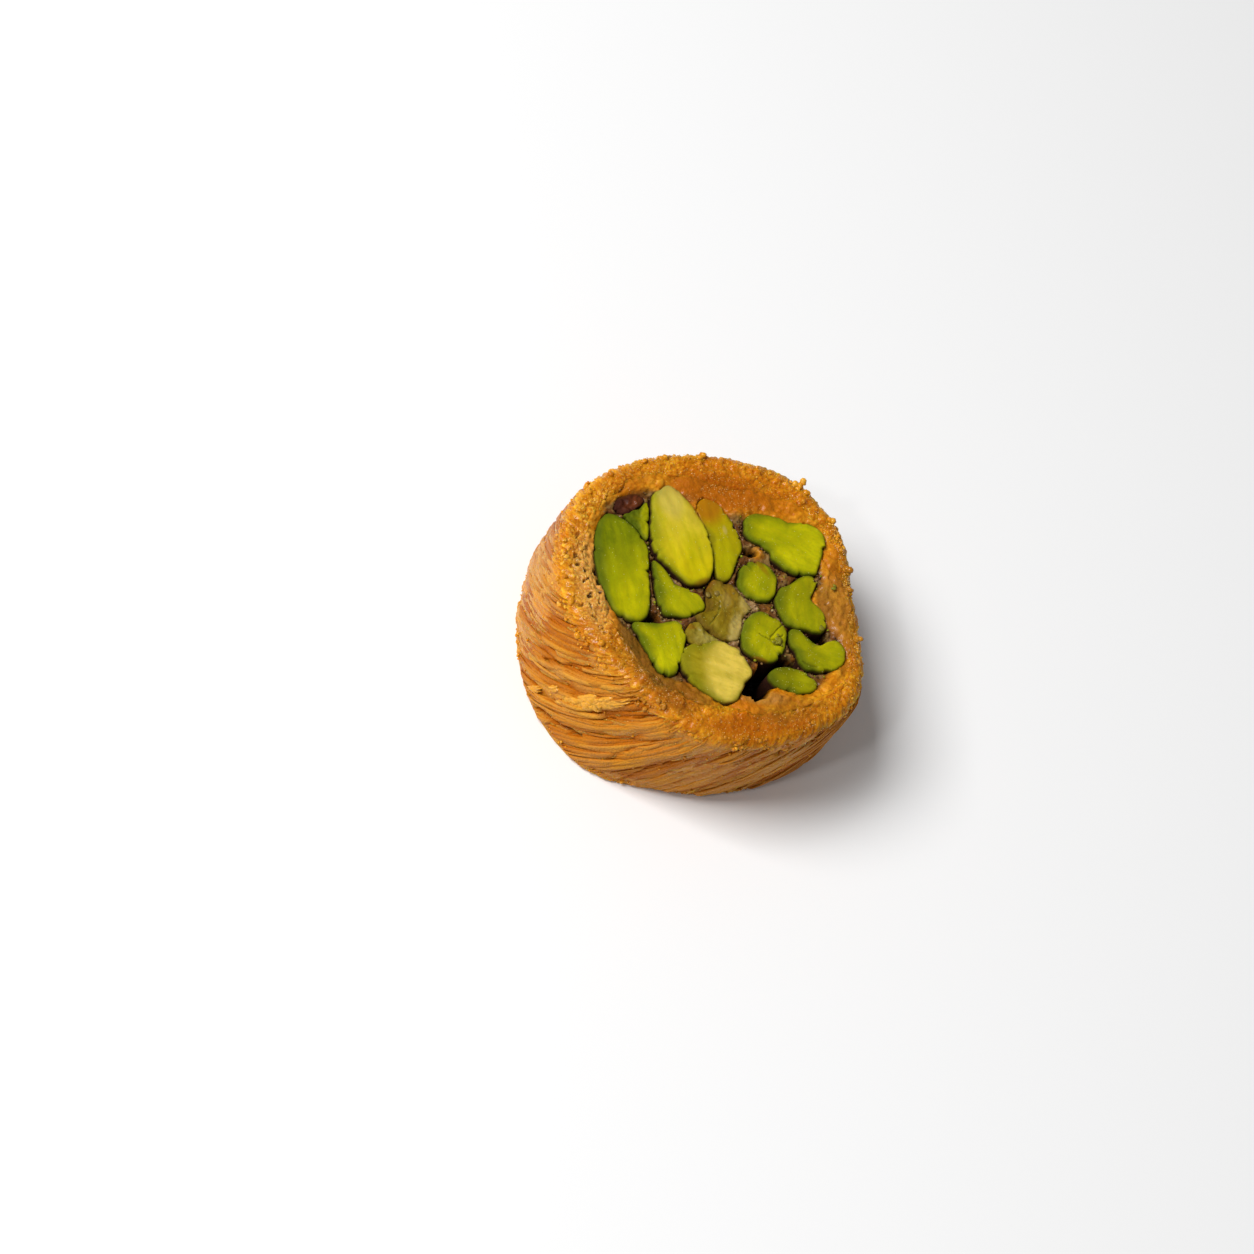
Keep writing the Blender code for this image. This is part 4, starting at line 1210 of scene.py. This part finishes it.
def press_kernel(loop, look, low, high, side, seed):
    """Press a pebble into an outline, shown end up (side 1) or down (-1); returns mesh, points, masks."""
    mesh = sewn_grid(pebble_profile(), AROUND_KERNEL)
    raw = points_of(mesh)
    own = np.full(len(raw), seed)
    k = np.rint(np.arctan2(raw[:, 1], raw[:, 0]) / math.tau * AROUND_KERNEL).astype(int) % AROUND_KERNEL
    rho = np.hypot(raw[:, 0], raw[:, 1])
    centre = loop.mean(0) if look.centre is None else np.array(look.centre) + OUTLINE_ORIGIN
    reach = loop[k] - centre
    far = np.linalg.norm(reach, axis=1)
    edge = np.column_stack((centre + reach, own))
    ragged = 0.16 * soft_noise(edge, 2.2) + 0.15 * soft_noise(edge, 0.9)
    ragged = ragged - 0.28 * smoothstep(0.38, 0.5, soft_noise(edge, 1.3, 6.0))
    flat = centre + (rho * (1 + (SWELL + ragged) / far))[:, None] * reach
    middle, half = (low + high) / 2, (high - low) / 2
    points = np.column_stack((flat, middle + half * raw[:, 2]))
    axes = np.linalg.eigh(np.cov((loop - loop.mean(0)).T))[1]
    along = (flat - loop.mean(0)) @ axes[:, 1]
    across = (flat - loop.mean(0)) @ axes[:, 0]
    ripple = np.column_stack((along / 5.0, across / 0.9, own))
    relief = 0.14 * (1 - rho ** 2) + 0.14 * soft_noise(points, 3.2, seed) + 0.08 * soft_noise(ripple, 1.0)
    broken = soft_noise(points, 1.3, seed + 3) + 0.5 * soft_noise(points, 0.5, seed + 4)
    crack = cracks(points)
    relief = relief + 0.05 * soft_noise(points, 1.0, seed + 9) + look.rough * broken - 0.2 * crack
    points[:, 2] += side * smoothstep(0.5, 0.95, side * raw[:, 2]) * (relief - 0.15)
    deep = half - side * (points[:, 2] - middle)
    inset = (1 - rho) * far + 0.5 * soft_noise(points, 1.8, 33.0)
    # Painted shade: the green rim widens towards the shaded side of each kernel.
    dark_side = 0.5 + 0.5 * (reach / far[:, None]) @ SHADED_SIDE
    swing = np.array((math.cos(math.radians(look.turn)), math.sin(math.radians(look.turn))))
    shift = (flat - loop.mean(0)) @ swing
    soft = 0.25 if look.at else 0.7
    turned = shift / np.abs(shift).max() + 0.25 * soft_noise(points, 2.5, 70.0)
    shown = 1.0 if side > 0 else 0.0
    drowned = shown * spots(points, DROWNED)
    masks = {
        "rim": 0.9 * (1 - drowned) * smoothstep(0.7 + 2.0 * dark_side ** 1.5, -0.2, inset) ** 1.3,
        "skin": smoothstep(0.3, 0.9, deep + 0.2 * soft_noise(points, 1.1, 50.0)),
        "along": along / 40 + 0.5,
        "across": across / 40 + 0.5,
        "turn": smoothstep(look.at - soft, look.at + soft, turned),
        "seed": own / 40 % 1,
        "shade": look.shade * (1 + 0.5 * soft_noise(points, 2.0, 90.0)),
        "stain": shown * spots(points, STAINS),
        "milk": shown * spots(points, MILK),
        "syrup": np.maximum(0.75 * shown * spots(points, AMBER), drowned),
        "crack": shown * crack,
    }
    return mesh, points, masks


kernel_tops = []
for number, (name, loop) in enumerate(loops.items()):
    look = LOOKS.get(name, Look("green", turn=30 * number))
    if name.startswith("foot_"):
        low, high, side = 0.1, FOOT_DEPTH + 0.1, -1
    else:
        high = SLICE + look.level
        low, side = high - (SMALL_DEPTH if name in SMALL else TOP_DEPTH), 1
    mesh, points, masks = press_kernel(loop, look, low, high, side, 1.7 * number + 0.3)
    if side > 0 and name not in SMALL:
        kernel_tops.append(points[masks["skin"] < 0.05])
    slot = "kernel_" + CAD_SLOTS[look.flesh]
    finish_piece("kernel_" + name, mesh, points, FLESH[look.flesh], slot, masks, "pistachio_" + name)

# %% [markdown]
# ## The filling
# Between the kernels lies a syrupy crumb. It is one sewn disc with a shown face and an underside,
# sunk below the cut. Next to each kernel it is darker, where the nuts' skins and the syrup gather
# and where painted shade fills the narrow gaps, and it opens into a few deep holes that are painted
# black as shade. Crumbs of all sizes are strewn on it.

# %% Filling finish
def filling_finish():
    """Syrupy crumb like the crust's, purple-brown between the kernels, darker at their edges from skins and
    painted shade, and painted black in holes as shade.
    """
    f = Finish("nut_filling", roughness=0.5, coat=0.2, flesh=0.3, shine=0.1)
    grain = f.group(GRAIN, Scale=2600.0)
    wet = f.group(WET, Scale=420.0, Dry=0.6, Wet=0.28)
    colour = f.mix(f.mask("between"), crumb_colour(f, grain), "4E2E18")
    colour = f.mix(f.times(f.mask("between"), f.cloud(1.4, 0.5, 0.62)), colour, "8A6C3A")
    colour = f.mix(f.times(f.mask("syrup"), f.cloud(0.9, 0.3, 0.6)), colour, "A6865A")
    # Painted shade: darker at the kernels' edges, along with their skins, and black in the holes.
    f.feed("Base Color", f.layers(colour, dark="2A1608", hollow="0A0502"))
    f.feed("Roughness", wet["Roughness"])
    f.bump(grain["Height"], 0.14, 0.6)
    return f.material


FILLING = filling_finish()
print("finish:", FILLING.name)

# %% Gaps and holes
FILLING_COLUMNS = 420
# Deep holes between kernels: x, y, length, width, angle, depth
HOLLOWS = (
    (11.2, -7.6, 5.6, 3.6, 80, 6.0), (11.4, -4.9, 4.2, 2.4, 50, 5.0), (12.3, -2.9, 4.6, 2.6, 40, 5.0),
    (0.1, 8.6, 2.3, 1.3, 20, 3.0), (-5.2, -9.6, 3.4, 1.9, 15, 4.5), (14.2, 4.2, 3.2, 2.4, 35, 4.0),
    (-14.0, -9.0, 0.9, 0.6, 0, 1.2), (-17.6, -0.6, 0.7, 1.2, 0, 1.5), (5.3, 0.8, 0.9, 0.5, 40, 1.2),
)
# Milky syrup that stands nearly level with the kernels: x, y, length, width, angle, strength
SYRUP = ((5.0, -2.8, 5.5, 2.2, -78, 1.0), (4.6, 1.2, 3.4, 2.2, -40, 0.9), (1.2, 1.6, 5, 1.8, 25, 0.7),
         (2.2, -6.2, 5, 1.6, 15, 0.6), (8.2, 3.0, 3.0, 1.6, -50, 0.6), (7.0, 12.2, 3.5, 1.6, 10, 0.5),
         (-0.6, -5.6, 2.0, 2.0, 0, 0.5))
top_loops = [name for name in loops if not name.startswith("foot_")]
foot_loops = [name for name in loops if name.startswith("foot_")]


def inside(points, loop):
    """Whether each point lies inside an outline, by counting the edges that lie to its right."""
    x, y = points[:, :1], points[:, 1:2]
    a, b = loop, np.roll(loop, -1, axis=0)
    spans = (a[None, :, 1] > y) != (b[None, :, 1] > y)
    rise = np.where(a[:, 1] == b[:, 1], 1.0, b[:, 1] - a[:, 1])
    cut = a[None, :, 0] + (y - a[None, :, 1]) * (b[:, 0] - a[:, 0]) / rise
    return (spans & (x < cut)).sum(axis=1) % 2 == 1


def under_kernels(points):
    """Which points lie inside the outline of a kernel on the shown face."""
    return np.any([inside(points, loops[name]) for name in top_loops], axis=0)


def gaps_to(names, points):
    """Distance from each point to the nearest kernel's outline, and to the next nearest kernel's."""
    flat = [(x, y, 0.0) for x, y in points[:, :2].tolist()]
    gaps = []
    for name in names:
        tree = kdtree.KDTree(len(loops[name]))
        for i, (x, y) in enumerate(loops[name].tolist()):
            tree.insert((x, y, 0.0), i)
        tree.balance()
        gaps.append([tree.find(p)[2] for p in flat])
    return np.sort(np.array(gaps), axis=0)[:2]


def hollow_depth(points):
    """How deep the holes are at each point, with crumbly edges."""
    depth = np.zeros(len(points))
    rough = 0.35 * soft_noise(points, 0.9, 80.0)
    for *place, deep in HOLLOWS:
        depth = np.maximum(depth, deep * (1 - smoothstep(0.7, 1.15, oval_reach(points, *place) + rough)))
    return depth


print("kernels on the shown and the hidden face:", len(top_loops), len(foot_loops))

# %% [markdown]
# The relief of the filling depends on how wide the gap between two kernels is: narrow gaps are deep
# and get the most painted shade, wide ones hold crumb that is nearly level with the nuts.

# %% Pressing the filling
def filling_relief(points):
    """Height of the shown filling over the cut, and its masks."""
    gap, other = gaps_to(top_loops, points)
    lift, crest_highlight, crevice_shade, pit = crumb_lift(points)
    calm = 1 - 0.45 * np.maximum(spots(points, AMBER), 0.4 * spots(points, DAMP))
    clear = 1 - spots(points, DROWNED)
    between = clear * smoothstep(3.2, 1.6, gap + other)
    narrow = clear * smoothstep(1.8, 0.8, gap + other)
    syrup = spots(points, SYRUP) * between
    level = (0.7 - 0.45 * syrup) * between + (1 - between) * (0.25 * smoothstep(1.5, 0.2, gap) + 0.12)
    trench = clear * (0.1 + 0.5 * narrow) * (1 - 0.8 * syrup) * smoothstep(0.45, 0.0, gap)
    edge = clear * smoothstep(0.4, 0.1, gap + 0.35 * soft_noise(points, 0.9, 17.0))
    pit = pit * (1 - between)
    hollow = hollow_depth(points)
    masks = {
        # Painted shade: darker next to the kernels, most in narrow gaps, along with the skins; black in
        # holes.
        "dark": edge * (0.22 + 0.56 * narrow) * (1 - 0.8 * syrup),
        "syrup": syrup,
        "between": 0.9 * between,
        "hollow": smoothstep(0.3, 1.6, hollow),
        "crest_highlight": calm * crest_highlight * (1 - between),
        "crevice_shade": calm * crevice_shade * (1 - between),
        "pit": pit,
    }
    height = calm * lift - level - trench - 0.5 * pit - hollow
    return np.where(under_kernels(points), np.minimum(height, -1.4), height), masks


def press_filling(mesh):
    """Press the rolled-up disc into the hole of the ring; returns its points and masks."""
    raw = points_of(mesh)
    angle = np.arctan2(raw[:, 1], raw[:, 0]) % math.tau
    points = polar(angle, np.hypot(raw[:, 0], raw[:, 1]) * (around(HOLE, angle) + 0.7), 0.0)
    on_top = raw[:, 2] > 0
    lift, shown_masks = filling_relief(points)
    foot_gap, foot_other = gaps_to(foot_loops, points)
    foot_between = smoothstep(4.0, 2.0, foot_gap + foot_other)
    foot = 0.3 + 0.4 * foot_between + 0.35 * (1 - domes(points, 1.2, 44.0))
    foot = foot + 0.5 * smoothstep(0.5, 0.0, foot_gap)
    points[:, 2] = np.where(on_top, SLICE + lift, foot)
    masks = {key: on_top * value for key, value in {**shown_masks, **zones(points)}.items()}
    # On the underside too, painted shade and skins darken the filling next to the kernels.
    masks["dark"] = np.where(on_top, masks["dark"], 0.7 * smoothstep(0.7, 0.2, foot_gap))
    masks["between"] = np.where(on_top, masks["between"], 0.8 * foot_between)
    return points, masks


disc = [(r, 1.0) for r in evenly(0.0, 1.0, 112)] + [(r, -1.0) for r in evenly(1.0, 0.0, 56)]
filling = sewn_grid(disc, FILLING_COLUMNS)
filling_points, filling_masks = press_filling(filling)
finish_piece("nut_filling_crumb", filling, filling_points, FILLING, "filling", filling_masks, "nut_filling")

# %% [markdown]
# Broken kernel and pale crumb lie between the kernels, and tiny glossy beads of syrup stand on
# everything that was cut, where they glint; their pale colour adds painted glints.

# %% Crumbs between the kernels
def crumb_finish():
    """Crumbs of kernel and pastry: brown, then yellow-green, then pale ones as the tint goes up."""
    f = Finish("nut_crumbs", roughness=0.35, coat=0.1)
    tint = f.mask("tint")
    low = f.mix(f.spread(tint, 0.4, 0.7), "5A3A20", "7E5E34")
    low = f.mix(f.spread(tint, 0.84, 0.9), low, "868A0C")
    f.feed("Base Color", f.mix(f.spread(tint, 0.96, 0.98), low, "B8A674"))
    return f.material


def filling_places(count):
    """Places on the filling: those crowded between the kernels, and those where the syrup soaks it."""
    angle = chance.uniform(0, math.tau, count)
    places = polar(angle, np.sqrt(chance.uniform(0, 1, count)) * around(HOLE, angle), SLICE)
    places = places[~under_kernels(places)]
    lift, masks = filling_relief(places)
    places[:, 2] += lift
    dice = chance.uniform(0, 1, len(places))
    chosen = (dice < masks["between"] ** 2) & (masks["hollow"] < 0.2)
    return places[chosen], places[~chosen & (dice < spots(places, AMBER))]


crumbs, soaked = filling_places(6500)
crumb_sizes = grain_sizes(len(crumbs), 0.26, 0.14, 0.6)
crumb_tint = chance.uniform(0, 1, len(crumbs))
crumb_material = crumb_finish()
scatter_grains("nut_crumbs", crumbs, crumb_sizes, crumb_material, "filling", {"tint": crumb_tint}, 0.9)
# Kernels splinter at some places: x, y, height over the cut, how far the chips spread, how many, tint
SPLINTERS = (
    (9.9, -1.1, 0.25, 0.4, 12, 0.88), (13.7, 5.2, 0.1, 0.3, 4, 0.88), (11.8, 11.6, 0.1, 0.15, 3, 0.88),
    (0.6, -0.8, -0.35, 0.9, 9, 0.855),
)
chips = np.concatenate([(x, y, SLICE + z) + chance.normal(0, 1, (count, 3)) * (far, far, 0.06)
                        for x, y, z, far, count, tint in SPLINTERS])
chip_tint = np.concatenate([np.full(count, tint) for *_, count, tint in SPLINTERS])
scatter_grains("kernel_chips", chips, grain_sizes(len(chips), 0.6, 0.3, 1.0), crumb_material, "filling",
               {"tint": chip_tint}, 0.35)


def bead_finish():
    """Beads of syrup, glossy and pale enough to stand for glints as painted highlight: pale on kernels,
    honey-coloured on the crust.
    """
    f = Finish("syrup_glint_beads", roughness=0.15, coat=0.8, shine=0.5)
    # Painted highlight: the beads are pale so that they show as glints.
    f.feed("Base Color", f.mix(f.mask("tint"), "D4D270", "F4C878"))
    return f.material


tops = np.concatenate(kernel_tops)
tops = tops[chance.choice(len(tops), 500, replace=False)]
rim_beads = (600, 0.5, SLICE - 0.5, (-0.02, 0.08))
beads = np.concatenate((tops, crust_places(2000), soaked[:450], rim_places(*rim_beads)))
bead_sizes = chance.uniform(0.06, 0.12, len(beads))
bead_tint = np.repeat((0.0, 1.0), (len(tops), len(beads) - len(tops)))
scatter_grains("syrup_glint_beads", beads, bead_sizes, bead_finish(), "filling", {"tint": bead_tint}, 0.8)

# %% [markdown]
# ## Floor and light
# A pale floor, a soft light from the photograph's upper left, a small weak one beside the camera that
# makes the syrup glint, and even white light from all round.

# %% Floor and lights
# Soft square lights, in metres: name, place, size, power in watts
LIGHTS = (("key", (-0.58, -0.32, 0.77), 0.48, 11.1), ("glint", (-0.2, -0.45, 0.5), 0.05, 0.45))
ALL_ROUND = 0.2


def make_floor():
    """A pale floor under the slice."""
    bm = bmesh.new()
    bmesh.ops.create_grid(bm, x_segments=1, y_segments=1, size=2.0)
    floor = add_object("floor", mesh_from(bm, "floor"))
    finish = Finish("pale_floor", roughness=0.9)
    finish.shader.inputs["Base Color"].default_value = (0.95, 0.95, 0.95, 1.0)
    floor.data.materials.append(finish.material)
    floor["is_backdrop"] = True


def add_area(name, place, size, power):
    """A square soft light that faces the slice."""
    data = bpy.data.lights.new(name, "AREA")
    data.size = size
    data.energy = power
    light = add_object(name, data)
    light.location = place
    light.rotation_euler = (-Vector(place)).to_track_quat("-Z", "Y").to_euler()


def set_world(strength):
    """Even white light from all round."""
    world = bpy.data.worlds.new("studio")
    world.use_nodes = True
    background = world.node_tree.nodes["Background"]
    background.inputs["Color"].default_value = (1.0, 1.0, 1.0, 1.0)
    background.inputs["Strength"].default_value = strength
    bpy.context.scene.world = world


make_floor()
set_world(ALL_ROUND)
for light in LIGHTS:
    add_area(*light)
bpy.context.scene.view_settings.view_transform = "Standard"

# %% Print the sizes of the model
low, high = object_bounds()
print("model, mm:", [round(x / MM, 1) for x in high - low])
